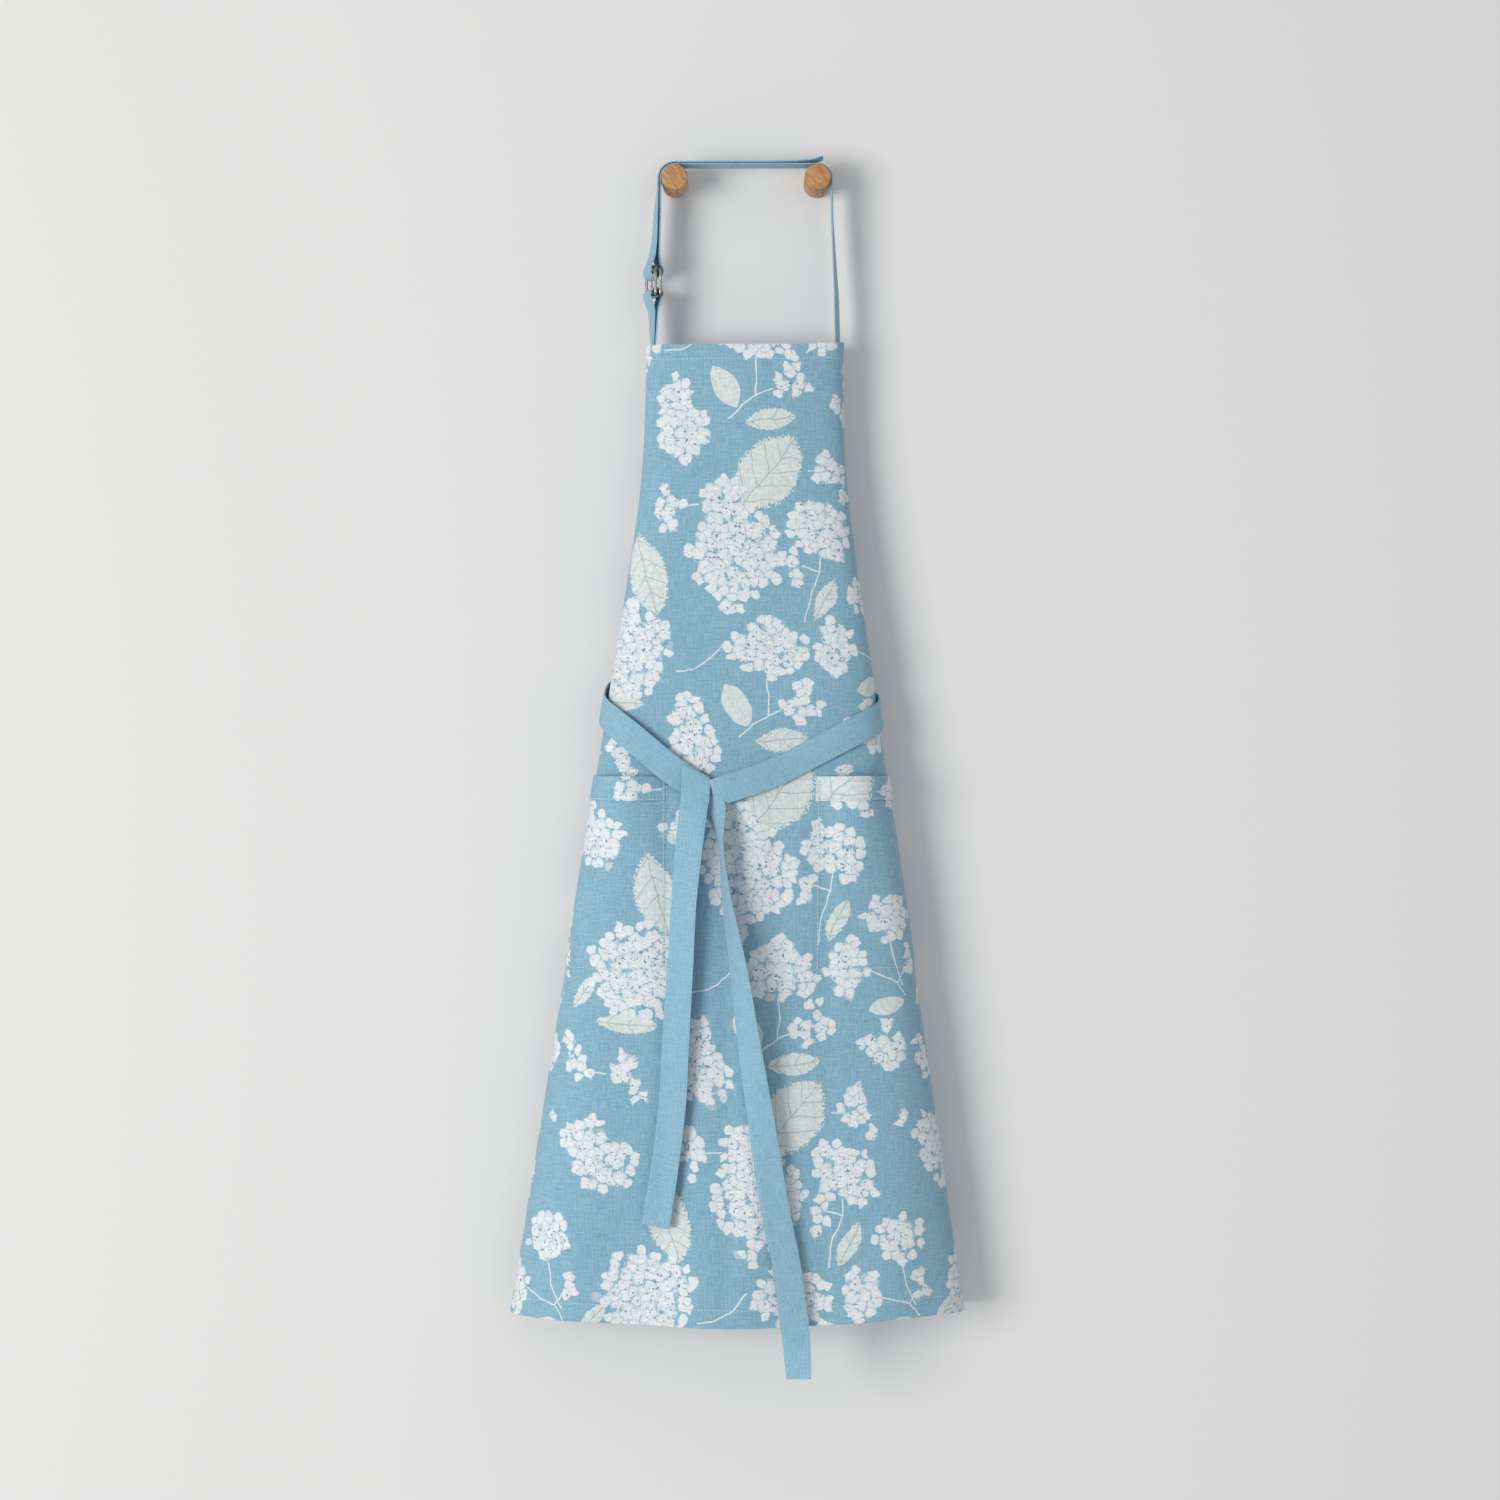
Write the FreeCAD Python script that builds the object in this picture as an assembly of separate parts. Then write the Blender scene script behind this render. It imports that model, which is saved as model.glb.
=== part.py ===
"""A bib apron hung by its neck strap on two turned wall pegs.

Millimetres, +Z up, the wall is the plane Y = 0 and the room is on its -Y side. The origin is
midway between the two pegs, on the wall. The cloth is drawn on a drape: a point of the flat
pattern is (across, down), measured from the middle of the bib's top edge, and `drape` says
where it hangs. Each cloth piece is a patch or a ribbon of that drape with a thickness.
"""
import math
import os

import FreeCAD
import Part

V = FreeCAD.Vector

# ---- driving dimensions: the pegs and what holds them in the wall
PEG_SPACING = 130.0
PEG_RADIUS = 12.0
PEG_LENGTH = 46.0
PEG_EDGE_ROUND = 1.6
INSERT_RADIUS = 5.0
INSERT_LENGTH = 15.0
INSERT_GROOVES = 4
GROOVE_DEPTH = 0.5
BOLT_RADIUS = 3.0
BOLT_LENGTH = 13.0
BOLT_PITCH = 1.0
BOLT_THREAD_DEPTH = 0.4
SCREW_RADIUS = 2.6
SCREW_LENGTH = 34.0
SCREW_PITCH = 2.6
SCREW_THREAD_DEPTH = 0.6
PLUG_RADIUS = 4.0
PLUG_LENGTH = 38.0
PLUG_SLIT = 0.8
PLUG_COLLAR = 8.0
PLUG_RINGS = 6
FIT = 0.05

# ---- driving dimensions: the cloth, as cut
APRON_LENGTH = 876.0
BIB_HALF_WIDTH = 122.0
SKIRT_HALF_WIDTH = 310.0
WAIST_DOWN = 262.0
CLOTH = 1.0
LAYER_GAP = 0.3
FACING_DEPTH = 16.0
BINDING_WIDTH = 10.0
POCKET_WIDTH = 165.0
POCKET_HEIGHT = 175.0
POCKET_DOWN = 389.0
POCKET_INNER_EDGE = 67.0
POCKET_BAND = 22.0
POCKET_GAPE = 12.0
POCKET_OPEN_SHARE = 0.45

# ---- driving dimensions: straps, ties and rings
STRAP_WIDTH = 24.0
STRAP_THICK = 1.4
STRAP_FROM_WALL = 28.0
STRAP_SEAM = 32.0
STRAP_TWIST = 18.0
TIE_WIDTH = 25.0
TIE_THICK = 1.4
TIE_SEWN = 14.0
RING_WIRE = 2.8
RING_HEIGHT = 26.0
RING_WIDTH = 29.0
RING_CORNER = 9.0
RING_GAP = 1.8
RING_BAR_DROP = 106.0
RING_X = -84.5
RING_EASE = 2.0
FOLD_BELOW_RING = 5.0

# ---- how the cloth hangs: silhouette and depth, from the bib's top edge down
BIB_TOP_DROP = 154.0
SIDE_AT_TOP = 89.0
FLARE_FROM = 112.0
FLARE = 0.1525
FLARE_SOFTNESS = 30.0
LEAN_AT_TOP = -1.0
LEAN_AT_HEM = -8.0
FRONT_AT_TOP = -52.0
FRONT_AT_HEM = -95.0
SIDE_DEPTH_AT_TOP = -26.0
SIDE_DEPTH_AT_HEM = -32.0
SQUARE_AT_TOP = 3.6
SQUARE_AT_HEM = 2.3
CURL_WIDTH = 20.0
LEFT_BACK_AT = -9.0
RIGHT_BACK_AT = -17.0

# ---- how the ties lie: heights of each layer off the cloth, and the knot
UNDER_LAYER = 3.0
MIDDLE_LAYER = 6.5
TOP_LAYER = 10.0
OVER_POCKET = 8.6
KNOT_ACROSS = -42.0
KNOT_TOP_DOWN = 377.0
KNOT_LOW_DOWN = 402.0

LEFT, RIGHT = -1, 1
PATCH_STEP = 4.0
ROW_STEP = 30.0


def blend(a, b, share):
    return a + (b - a) * share


# ---------------------------------------------------------------- the drape
def half_silhouette(down):
    """Half the width seen from the front: straight sides on the bib, flaring to the hem."""
    past = (down - FLARE_FROM) / FLARE_SOFTNESS
    return SIDE_AT_TOP + FLARE * FLARE_SOFTNESS * math.log1p(math.exp(past))


def section(down, side):
    """The cloth's line in plan at one height, from the middle of the front round to the back.

    It is a squarish bulge, a curl round the side, and a straight run behind. Returns rows of
    (length along the cloth, x, y)."""
    share = down / APRON_LENGTH
    half = half_silhouette(down)
    middle = blend(LEAN_AT_TOP, LEAN_AT_HEM, share)
    side_y = blend(SIDE_DEPTH_AT_TOP, SIDE_DEPTH_AT_HEM, share)
    bulge = side_y - blend(FRONT_AT_TOP, FRONT_AT_HEM, share)
    power = 2.0 / blend(SQUARE_AT_TOP, SQUARE_AT_HEM, share)
    curl = (LEFT_BACK_AT if side == LEFT else RIGHT_BACK_AT) - side_y
    line = []
    steps = 64
    for i in range(steps + 1):
        t = 0.5 * math.pi * i / steps
        line.append((half * math.sin(t) ** power, side_y - bulge * max(math.cos(t), 0.0) ** power))
    for i in range(1, 17):
        t = 0.5 * math.pi * i / 16
        line.append((half - CURL_WIDTH * (1 - math.cos(t)), side_y + curl * math.sin(t)))
    line.append((half - CURL_WIDTH - 2 * SKIRT_HALF_WIDTH, side_y + curl))
    rows, length = [(0.0, middle, line[0][1])], 0.0
    for (x0, y0), (x1, y1) in zip(line, line[1:]):
        length += math.hypot(x1 - x0, y1 - y0)
        rows.append((length, middle + side * x1, y1))
    return rows


SECTIONS = {}


def drape(across, down, standoff=0.0):
    """Where a point of the flat pattern hangs, moved outwards by standoff."""
    side = RIGHT if across >= 0 else LEFT
    key = (round(down, 4), side)
    if key not in SECTIONS:
        SECTIONS[key] = section(down, side)
    rows = SECTIONS[key]
    length = abs(across)
    i = 1
    while rows[i][0] < length:
        i += 1
    s0, x0, y0 = rows[i - 1]
    s1, x1, y1 = rows[i]
    t = (length - s0) / (s1 - s0)
    out = V((y1 - y0) * side, -(x1 - x0) * side, 0).normalize()
    if length < 1e-6:
        out = V(0, -1, 0)
    return V(blend(x0, x1, t), blend(y0, y1, t), -BIB_TOP_DROP - down) + out * standoff


def outward(across, down):
    return (drape(across, down, 1.0) - drape(across, down)).normalize()


# ---------------------------------------------------------------- builders
def curve_through(points):
    curve = Part.BSplineCurve()
    last = len(points) - 1
    if last == 1:
        curve.buildFromPoles(points, False, 1)
    else:
        curve.interpolate(Points=points, Parameters=[i / last for i in range(last + 1)])
    return curve


def between(first, second):
    """The ruled face between two curves with equally many points."""
    a, b = curve_through(first), curve_through(second)
    poles = [list(pair) for pair in zip(a.getPoles(), b.getPoles())]
    surface = Part.BSplineSurface()
    surface.buildFromPolesMultsKnots(poles, a.getMultiplicities(), (2, 2), a.getKnots(), (0.0, 1.0),
                                     False, False, a.Degree, 1)
    return surface.toShape()


def skin(sections):
    """A thin solid over sections; a section is (outer points, inner points), equally many."""
    faces = [between(*sections[0]), between(*sections[-1])]
    for first, second in zip(sections, sections[1:]):
        faces += [between(first[0], second[0]), between(first[1], second[1])]
        for end in (0, -1):
            faces.append(between([first[0][end], first[1][end]], [second[0][end], second[1][end]]))
    shell = Part.makeShell(faces)
    shell.sewShape()
    solid = Part.makeSolid(shell)
    return solid if solid.Volume > 0 else solid.reversed()


def cloth_patch(left, right, top, bottom, inner, outer, breaks=()):
    """A piece of cloth between two lines down the drape, from one standoff to another.

    left and right give the edges' place across for a distance down; inner and outer give the
    two faces' standoff for a point."""
    downs = [top]
    for stop in sorted(set(breaks) | {bottom}):
        count = max(1, round((stop - downs[-1]) / ROW_STEP))
        first = downs[-1]
        downs += [blend(first, stop, (i + 1) / count) for i in range(count)]
    columns = max(4, round((right(bottom) - left(bottom)) / PATCH_STEP))
    sections = []
    for down in downs:
        places = [blend(left(down), right(down), i / columns) for i in range(columns + 1)]
        sections.append([[drape(a, down, gap(a, down)) for a in places] for gap in (outer, inner)])
    return skin(sections)


def flat(value):
    return lambda *_: value


def banner(stations, thick):
    """A strap through stations; a station is a row of (point, face normal) over its width."""
    half = thick / 2
    return skin([[[p + n.normalize() * h for p, n in row] for h in (half, -half)] for row in stations])


SPREAD = (-0.5, -0.25, 0.0, 0.25, 0.5)


def flat_station(middle, width_way, normal, width):
    way = V(width_way).normalize()
    return [(middle + way * (width * s), V(normal)) for s in SPREAD]


def laid(path, width):
    """Stations of a tie lying on the drape. path rows are (across, down, standoff, twist)."""
    stations = []
    for i, (across, down, standoff, twist) in enumerate(path):
        a0, d0 = path[max(i - 1, 0)][:2]
        a1, d1 = path[min(i + 1, len(path) - 1)][:2]
        run = math.hypot(a1 - a0, d1 - d0)
        wa, wd = (d1 - d0) / run, -(a1 - a0) / run
        cos, sin = math.cos(math.radians(twist)), math.sin(math.radians(twist))
        row = []
        for s in SPREAD:
            off = width * s
            row.append(drape(across + wa * off * cos, down + wd * off * cos, standoff + off * sin))
        way = (row[-1] - row[0]).normalize()
        out = outward(across, down)
        along = way.cross(out).normalize()
        normal = along.cross(way).normalize()
        if twist == 0:
            row = [(p, outward(across + wa * width * s, down + wd * width * s))
                   for p, s in zip(row, SPREAD)]
        else:
            row = [(p, V(normal)) for p in row]
        stations.append(row)
    return stations


def smooth(points, count):
    """A soft curve through rows of numbers, as count rows."""
    out = []
    spans = len(points) - 1
    for i in range(count):
        t = i / (count - 1) * spans
        k = min(int(t), spans - 1)
        u = t - k
        p0, p1, p2, p3 = (points[min(max(k + j, 0), spans)] for j in (-1, 0, 1, 2))
        out.append(tuple(0.5 * (2 * b + (c - a) * u + (2 * a - 5 * b + 4 * c - d) * u ** 2
                                + (3 * b - a - 3 * c + d) * u ** 3)
                         for a, b, c, d in zip(p0, p1, p2, p3)))
    return out


def turned(profile, x):
    """A solid turned about the line along Y through (x, 0, 0); profile is (radius, y) corners."""
    loop = [V(x + r, y, 0) for r, y in profile + profile[:1]]
    return Part.Face(Part.makePolygon(loop)).revolve(V(x, 0, 0), V(0, 1, 0), 360)


# ---------------------------------------------------------------- the wall pegs
def thread(radius, depth, pitch, start, end):
    """The (radius, y) corners of a run of annular thread ridges."""
    corners = []
    y = start
    while y + pitch < end:
        corners += [(radius - depth, y), (radius, y + pitch * 0.4), (radius, y + pitch * 0.6)]
        y += pitch
    return corners + [(radius - depth, y)]


def peg(x):
    r, e = PEG_RADIUS, PEG_EDGE_ROUND
    profile = [(0, -PEG_LENGTH - 0.6), (r - e - 3, -PEG_LENGTH - 0.4), (r - e, -PEG_LENGTH)]
    profile += [(r - e + e * math.sin(math.radians(a)), -PEG_LENGTH + e - e * math.cos(math.radians(a)))
                for a in (20, 45, 70, 90)]
    bore = INSERT_RADIUS + FIT
    profile += [(r, -0.6), (r - 0.6, 0), (bore, 0), (bore, -INSERT_LENGTH - 1), (0, -INSERT_LENGTH - 3)]
    return turned(profile, x)


def threaded_insert(x):
    bore = BOLT_RADIUS + FIT
    profile = [(bore, -INSERT_LENGTH), (bore, -0.2), (INSERT_RADIUS, -0.2)]
    step = (INSERT_LENGTH - 2) / INSERT_GROOVES
    for i in range(INSERT_GROOVES):
        y = -1.2 - i * step
        low = INSERT_RADIUS - GROOVE_DEPTH
        profile += [(INSERT_RADIUS, y), (low, y - 0.4), (low, y - step * 0.4), (INSERT_RADIUS, y - step * 0.6)]
    return turned(profile + [(INSERT_RADIUS, -INSERT_LENGTH)], x)


def hanger_bolt(x):
    profile = [(0, -BOLT_LENGTH)]
    profile += thread(BOLT_RADIUS, BOLT_THREAD_DEPTH, BOLT_PITCH, -BOLT_LENGTH, 0)
    profile += thread(SCREW_RADIUS, SCREW_THREAD_DEPTH, SCREW_PITCH, 2, SCREW_LENGTH - 3)
    return turned(profile + [(0, SCREW_LENGTH)], x)


def wall_plug(x):
    bore = SCREW_RADIUS + FIT
    profile = [(bore, 0.2), (PLUG_RADIUS, 0.2)]
    step = (PLUG_LENGTH - PLUG_COLLAR - 4) / PLUG_RINGS
    for i in range(PLUG_RINGS):
        y = PLUG_COLLAR + i * step
        profile += [(PLUG_RADIUS, y), (PLUG_RADIUS - 0.5, y + 0.3), (PLUG_RADIUS - 0.2, y + step * 0.7)]
    profile += [(PLUG_RADIUS, PLUG_LENGTH - 3), (PLUG_RADIUS - 1, PLUG_LENGTH), (bore, PLUG_LENGTH)]
    body = turned(profile, x)
    slit = Part.makeBox(2 * PLUG_RADIUS + 2, PLUG_LENGTH, PLUG_SLIT,
                        V(x - PLUG_RADIUS - 1, PLUG_COLLAR + 2, -PLUG_SLIT / 2))
    return body.cut(slit)


NODES = {}
for name, x in (("left", -PEG_SPACING / 2), ("right", PEG_SPACING / 2)):
    NODES[name + "_peg"] = peg(x)
    NODES[name + "_threaded_insert"] = threaded_insert(x)
    NODES[name + "_hanger_bolt"] = hanger_bolt(x)
    NODES[name + "_wall_plug"] = wall_plug(x)


# ---------------------------------------------------------------- the neck strap
def strap_path():
    """The strap's line in XZ with its twist: up from the bib's right corner, over both pegs,
    down to the rings, round through them, and back over both pegs to a free end."""
    peg_x = PEG_SPACING / 2
    low = PEG_RADIUS + LAYER_GAP + STRAP_THICK / 2
    high = low + STRAP_THICK + LAYER_GAP
    seam_x = SIDE_AT_TOP + LEAN_AT_TOP - CLOTH - LAYER_GAP - STRAP_THICK - 2.0
    rows = [(seam_x, -BIB_TOP_DROP + 1.0, 0), (blend(seam_x, peg_x + low, 0.5), -70.0, 0)]
    rows += [(peg_x + low * math.cos(a), low * math.sin(a), 0) for a in arc_steps(0, 90)]
    rows += [(-peg_x + low * math.cos(a), low * math.sin(a), 0) for a in arc_steps(90, 180)]
    rows.append((-peg_x - low - 0.6, -40.0, STRAP_TWIST * 0.5))
    fold = RING_WIRE + RING_GAP / 2 + RING_EASE + STRAP_THICK / 2
    fold_z = -RING_BAR_DROP + RING_HEIGHT - FOLD_BELOW_RING
    rows += [(RING_X + fold * math.cos(a), fold_z + fold * math.sin(a), STRAP_TWIST)
             for a in arc_steps(0, -180)]
    rows.append((-peg_x - high - 3.6, -40.0, STRAP_TWIST * 0.5))
    rows += [(-peg_x + high * math.cos(a), high * math.sin(a), 0) for a in arc_steps(180, 90)]
    rows += [(0.0, high + 0.3, 0), (peg_x - 18, high + 0.8, 0), (peg_x + 5, high + 5.5, 0)]
    return rows


def arc_steps(start, end):
    count = max(4, round(abs(end - start) / 15))
    return [math.radians(blend(start, end, i / count)) for i in range(count + 1)]


def edge_on_strap(rows, depth=STRAP_FROM_WALL, width=STRAP_WIDTH, pivot=None):
    """Stations of a strap seen edge-on from the room, turned about its own upright by a twist."""
    stations = []
    for i, (x, z, twist) in enumerate(rows):
        x0, z0 = rows[max(i - 1, 0)][:2]
        x1, z1 = rows[min(i + 1, len(rows) - 1)][:2]
        a = math.radians(twist)
        way = V(-math.sin(a), math.cos(a), 0)
        side = V(math.cos(a), math.sin(a), 0)
        along = side * (x1 - x0) + V(0, 0, z1 - z0)
        middle = V(x, -depth, z)
        if pivot is not None and twist:
            middle = V(pivot, -depth, z) + side * (x - pivot)
        stations.append(flat_station(middle, way, along.cross(way), width))
    return stations


NODES["neck_strap"] = banner(edge_on_strap(strap_path(), pivot=RING_X), STRAP_THICK)


def d_ring(offset):
    """A ring of round wire: a straight bar below, rounded shoulders above, in an upright plane."""
    half, top, low = RING_WIDTH / 2, RING_HEIGHT, 0.0
    c, small = RING_CORNER, 3.0
    edges = []

    def line(a, b):
        edges.append(Part.makeLine(V(0, *a), V(0, *b)))

    def corner(cy, cz, r, start):
        pts = [V(0, cy + r * math.cos(math.radians(start + d)), cz + r * math.sin(math.radians(start + d)))
               for d in (0, 45, 90)]
        edges.append(Part.Arc(*pts).toShape())

    line((-half + small, low), (half - small, low))
    corner(half - small, low + small, small, -90)
    line((half, low + small), (half, top - c))
    corner(half - c, top - c, c, 0)
    line((half - c, top), (-half + c, top))
    corner(-half + c, top - c, c, 90)
    line((-half, top - c), (-half, low + small))
    corner(-half + small, low + small, small, 180)
    spine = Part.Wire(edges)
    profile = Part.Wire([Part.makeCircle(RING_WIRE / 2, V(0, 0, low), V(0, 1, 0))])
    ring = spine.makePipeShell([profile], True, True)
    ring.translate(V(offset, 0, 0))
    ring.rotate(V(0, 0, 0), V(0, 0, 1), STRAP_TWIST)
    ring.translate(V(RING_X, -STRAP_FROM_WALL, -RING_BAR_DROP))
    return ring


RING_OFFSET = (RING_WIRE + RING_GAP) / 2
NODES["outer_d_ring"] = d_ring(-RING_OFFSET)
NODES["inner_d_ring"] = d_ring(RING_OFFSET)


def ring_tab():
    """A short doubled strap: up one side of both bars, over them and down the other side."""
    reach = RING_WIRE + RING_GAP / 2 + RING_EASE + STRAP_THICK / 2
    foot = STRAP_THICK / 2 + LAYER_GAP / 2
    z = -RING_BAR_DROP
    twist = STRAP_TWIST
    rows = [(RING_X + foot, -BIB_TOP_DROP + 1.0, 0.01), (RING_X + foot, -BIB_TOP_DROP + 12, 3)]
    rows += [(RING_X + reach * math.cos(a), z + reach * math.sin(a), twist) for a in arc_steps(0, 180)]
    rows += [(RING_X - foot, -BIB_TOP_DROP + 12, 3), (RING_X - foot, -BIB_TOP_DROP + 1.0, 0.01)]
    return banner(edge_on_strap(rows, pivot=RING_X), STRAP_THICK)


NODES["ring_tab"] = ring_tab()


# ---------------------------------------------------------------- the apron
def half_width(down):
    """Half the flat cloth's width: the armhole curves out from the bib to the waist."""
    share = min(down / WAIST_DOWN, 1.0)
    return blend(BIB_HALF_WIDTH, SKIRT_HALF_WIDTH, share ** 2.2)


NODES["apron_panel"] = cloth_patch(lambda d: -half_width(d), half_width, 0, APRON_LENGTH,
                                   flat(0), flat(CLOTH), breaks=(WAIST_DOWN,))

INSIDE = -LAYER_GAP - CLOTH
NODES["bib_facing"] = cloth_patch(lambda d: -half_width(d) + BINDING_WIDTH + 1,
                                  lambda d: half_width(d) - BINDING_WIDTH - 1, 0, FACING_DEPTH,
                                  flat(INSIDE), flat(-LAYER_GAP))
for name, side in (("left", LEFT), ("right", RIGHT)):
    edges = [lambda d, s=side: s * (half_width(d) - BINDING_WIDTH), lambda d, s=side: s * half_width(d)]
    NODES[name + "_armhole_binding"] = cloth_patch(*edges[::side], 0, WAIST_DOWN,
                                                   flat(INSIDE), flat(-LAYER_GAP))


def seam_end(across):
    """A strap's last length, sewn flat behind the bib."""
    deeper = INSIDE - LAYER_GAP
    half = STRAP_WIDTH / 2
    return cloth_patch(flat(across - half), flat(across + half), 0.5, STRAP_SEAM,
                       flat(deeper - STRAP_THICK), flat(deeper))


def seam_across(side):
    """Where the bib's side faces straight out: the straps are sewn there."""
    rows = section(0.0, side)
    return side * next(length for length, x, y in rows if y > -STRAP_FROM_WALL - 3.0 and length > 40)


NODES["neck_strap_sewn_end"] = seam_end(seam_across(RIGHT))
NODES["ring_tab_sewn_end"] = seam_end(seam_across(LEFT))


# ---------------------------------------------------------------- the pockets
def pocket(side):
    """A patch pocket and the band across its mouth; the mouth stands open a little."""
    near, far = POCKET_INNER_EDGE, POCKET_INNER_EDGE + POCKET_WIDTH
    ends = sorted((side * near, side * far))

    def gape(across, down):
        u = (abs(across) - near) / (POCKET_WIDTH * POCKET_OPEN_SHARE)
        v = (down - POCKET_DOWN) / POCKET_HEIGHT
        return POCKET_GAPE * math.sin(math.pi * min(max(u, 0.0), 1.0)) * max(1.0 - v, 0.0) ** 2

    def face(layer):
        return lambda a, d: CLOTH + LAYER_GAP + gape(a, d) + layer

    bag = cloth_patch(flat(ends[0]), flat(ends[1]), POCKET_DOWN, POCKET_DOWN + POCKET_HEIGHT,
                      face(0), face(CLOTH))
    band = cloth_patch(flat(ends[0]), flat(ends[1]), POCKET_DOWN, POCKET_DOWN + POCKET_BAND,
                       face(CLOTH + LAYER_GAP), face(2 * CLOTH + LAYER_GAP))
    return bag, band


for name, side in (("left", LEFT), ("right", RIGHT)):
    NODES[name + "_pocket"], NODES[name + "_pocket_band"] = pocket(side)


# ---------------------------------------------------------------- the waist ties and their knot
def sewn_start(side, down):
    """A tie starts at the back edge at the waist and is folded back along the cloth's face."""
    edge = half_width(down)
    return [(side * (edge - 2), down, UNDER_LAYER, 0), (side * (edge - 60), down + 5, UNDER_LAYER, 0)]


left_band = sewn_start(LEFT, WAIST_DOWN + TIE_SEWN) + [
    (-190, 303, UNDER_LAYER, 0), (-150, 316, UNDER_LAYER + 1, 0), (-126, 330, UNDER_LAYER + 1, 0),
    (-103, 348, OVER_POCKET, 0), (-82, 367, OVER_POCKET, 0), (-64, 382, OVER_POCKET, 0),
    (-50, 391, MIDDLE_LAYER, 0), (-38, 399, MIDDLE_LAYER, 0), (-28, 411, MIDDLE_LAYER, 0),
    (-23, 424, MIDDLE_LAYER + 1, 6)]
right_band = sewn_start(RIGHT, WAIST_DOWN + TIE_SEWN) + [
    (190, 306, UNDER_LAYER, 0), (160, 320, UNDER_LAYER, 0), (135, 332, UNDER_LAYER, 0),
    (108, 345, UNDER_LAYER, 0), (66, 367, UNDER_LAYER, 0), (34, 383, UNDER_LAYER, 0),
    (-12, 399, UNDER_LAYER, 0), (-48, 404, UNDER_LAYER, 0)]
left_tail_path = [(-19, 427, 12, 10), (-17, 452, 17, 45), (-11, 492, 18, 55), (-5, 532, 18, 58),
                  (0, 564, 18, 55), (10, 627, 17, 45), (22, 700, 12, 25), (34, 771, 8, 8),
                  (43, 819, 6, 3), (52, 887, 6, 2), (54, 923, 6, 2)]
right_tail_path = [(-45, KNOT_LOW_DOWN + 2, TOP_LAYER, 3), (-47, 430, TOP_LAYER + 1, 10),
                   (-51, 492, TOP_LAYER + 3, 30), (-53, 552, TOP_LAYER + 3, 28),
                   (-56, 618, TOP_LAYER + 2, 15), (-59, 680, TOP_LAYER, 8), (-73, 788, 8, 5)]

NODES["left_waist_tie"] = banner(laid(smooth(left_band, 60), TIE_WIDTH), TIE_THICK)


def knot_turn():
    """The right tie's turn: up behind the left tie, over its upper edge and down in front."""
    rows = [(KNOT_LOW_DOWN + 10, UNDER_LAYER + 0.4), (KNOT_TOP_DOWN + 8, UNDER_LAYER + 0.2)]
    reach = (TOP_LAYER - UNDER_LAYER) / 2
    middle = (TOP_LAYER + UNDER_LAYER) / 2
    rows += [(KNOT_TOP_DOWN - reach * math.sin(a), middle - reach * math.cos(a)) for a in arc_steps(0, 180)]
    rows += [(KNOT_TOP_DOWN + 10, TOP_LAYER), (KNOT_LOW_DOWN, TOP_LAYER)]
    points = [drape(KNOT_ACROSS - 2, d, s) for d, s in rows]
    stations = []
    for i, point in enumerate(points):
        along = points[min(i + 1, len(points) - 1)] - points[max(i - 1, 0)]
        stations.append(flat_station(point, V(1, 0, 0), along.cross(V(1, 0, 0)), TIE_WIDTH))
    return banner(stations, TIE_THICK)


band = banner(laid(smooth(right_band, 60), TIE_WIDTH), TIE_THICK)
NODES["right_waist_tie"] = band.fuse(knot_turn())
NODES["left_tie_tail"] = banner(laid(smooth(left_tail_path, 40), TIE_WIDTH), TIE_THICK)
NODES["right_tie_tail"] = banner(laid(smooth(right_tail_path, 36), TIE_WIDTH), TIE_THICK)


os.makedirs("parts", exist_ok=True)
for name, shape in NODES.items():
    whole = shape.Solids[0] if len(shape.Solids) == 1 else shape
    box = whole.BoundBox
    print(f"{name:24} solids {len(shape.Solids)} ok {whole.isValid()} volume {whole.Volume:9.0f} "
          f"x {box.XMin:7.1f} {box.XMax:7.1f} y {box.YMin:7.1f} {box.YMax:7.1f} "
          f"z {box.ZMin:8.1f} {box.ZMax:7.1f}")
    whole.exportStep(f"parts/{name}.step")
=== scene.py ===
# %% [markdown]
# # A bib apron hanging on two wall pegs
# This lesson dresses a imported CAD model: the model gives every piece its place and says how it
# moves, and the cells below make what the eye sees. The cloth comes from one idea. A point of
# the flat pattern is (across, down) in millimetres, and one function says where it hangs, so
# the panel, the pockets, the ties and the stitches all agree with each other.

# %% Load the frame
import math
import bpy
import numpy as np
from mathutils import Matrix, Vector


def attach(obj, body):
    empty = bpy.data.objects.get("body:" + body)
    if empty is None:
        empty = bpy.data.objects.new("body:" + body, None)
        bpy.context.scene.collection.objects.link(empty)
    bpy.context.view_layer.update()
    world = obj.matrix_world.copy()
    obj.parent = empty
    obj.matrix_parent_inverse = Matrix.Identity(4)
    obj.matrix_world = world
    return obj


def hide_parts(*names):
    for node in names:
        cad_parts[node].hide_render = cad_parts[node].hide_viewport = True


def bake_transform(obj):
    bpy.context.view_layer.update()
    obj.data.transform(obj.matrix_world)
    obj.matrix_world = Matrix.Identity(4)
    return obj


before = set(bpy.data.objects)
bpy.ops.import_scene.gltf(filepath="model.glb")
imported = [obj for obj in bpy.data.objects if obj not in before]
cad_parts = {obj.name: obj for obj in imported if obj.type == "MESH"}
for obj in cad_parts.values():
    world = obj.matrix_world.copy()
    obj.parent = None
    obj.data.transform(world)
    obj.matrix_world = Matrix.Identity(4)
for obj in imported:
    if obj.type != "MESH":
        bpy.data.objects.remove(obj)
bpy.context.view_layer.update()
MM = 0.001

# %% [markdown]
# ## The camera
# The object is seen from straight ahead, from about the height of the waist and three metres
# away. It could be placed by eye, but here its field of view is worked out from the width of
# wall that it takes in, which keeps the size in the picture right if the distance changes.

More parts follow.
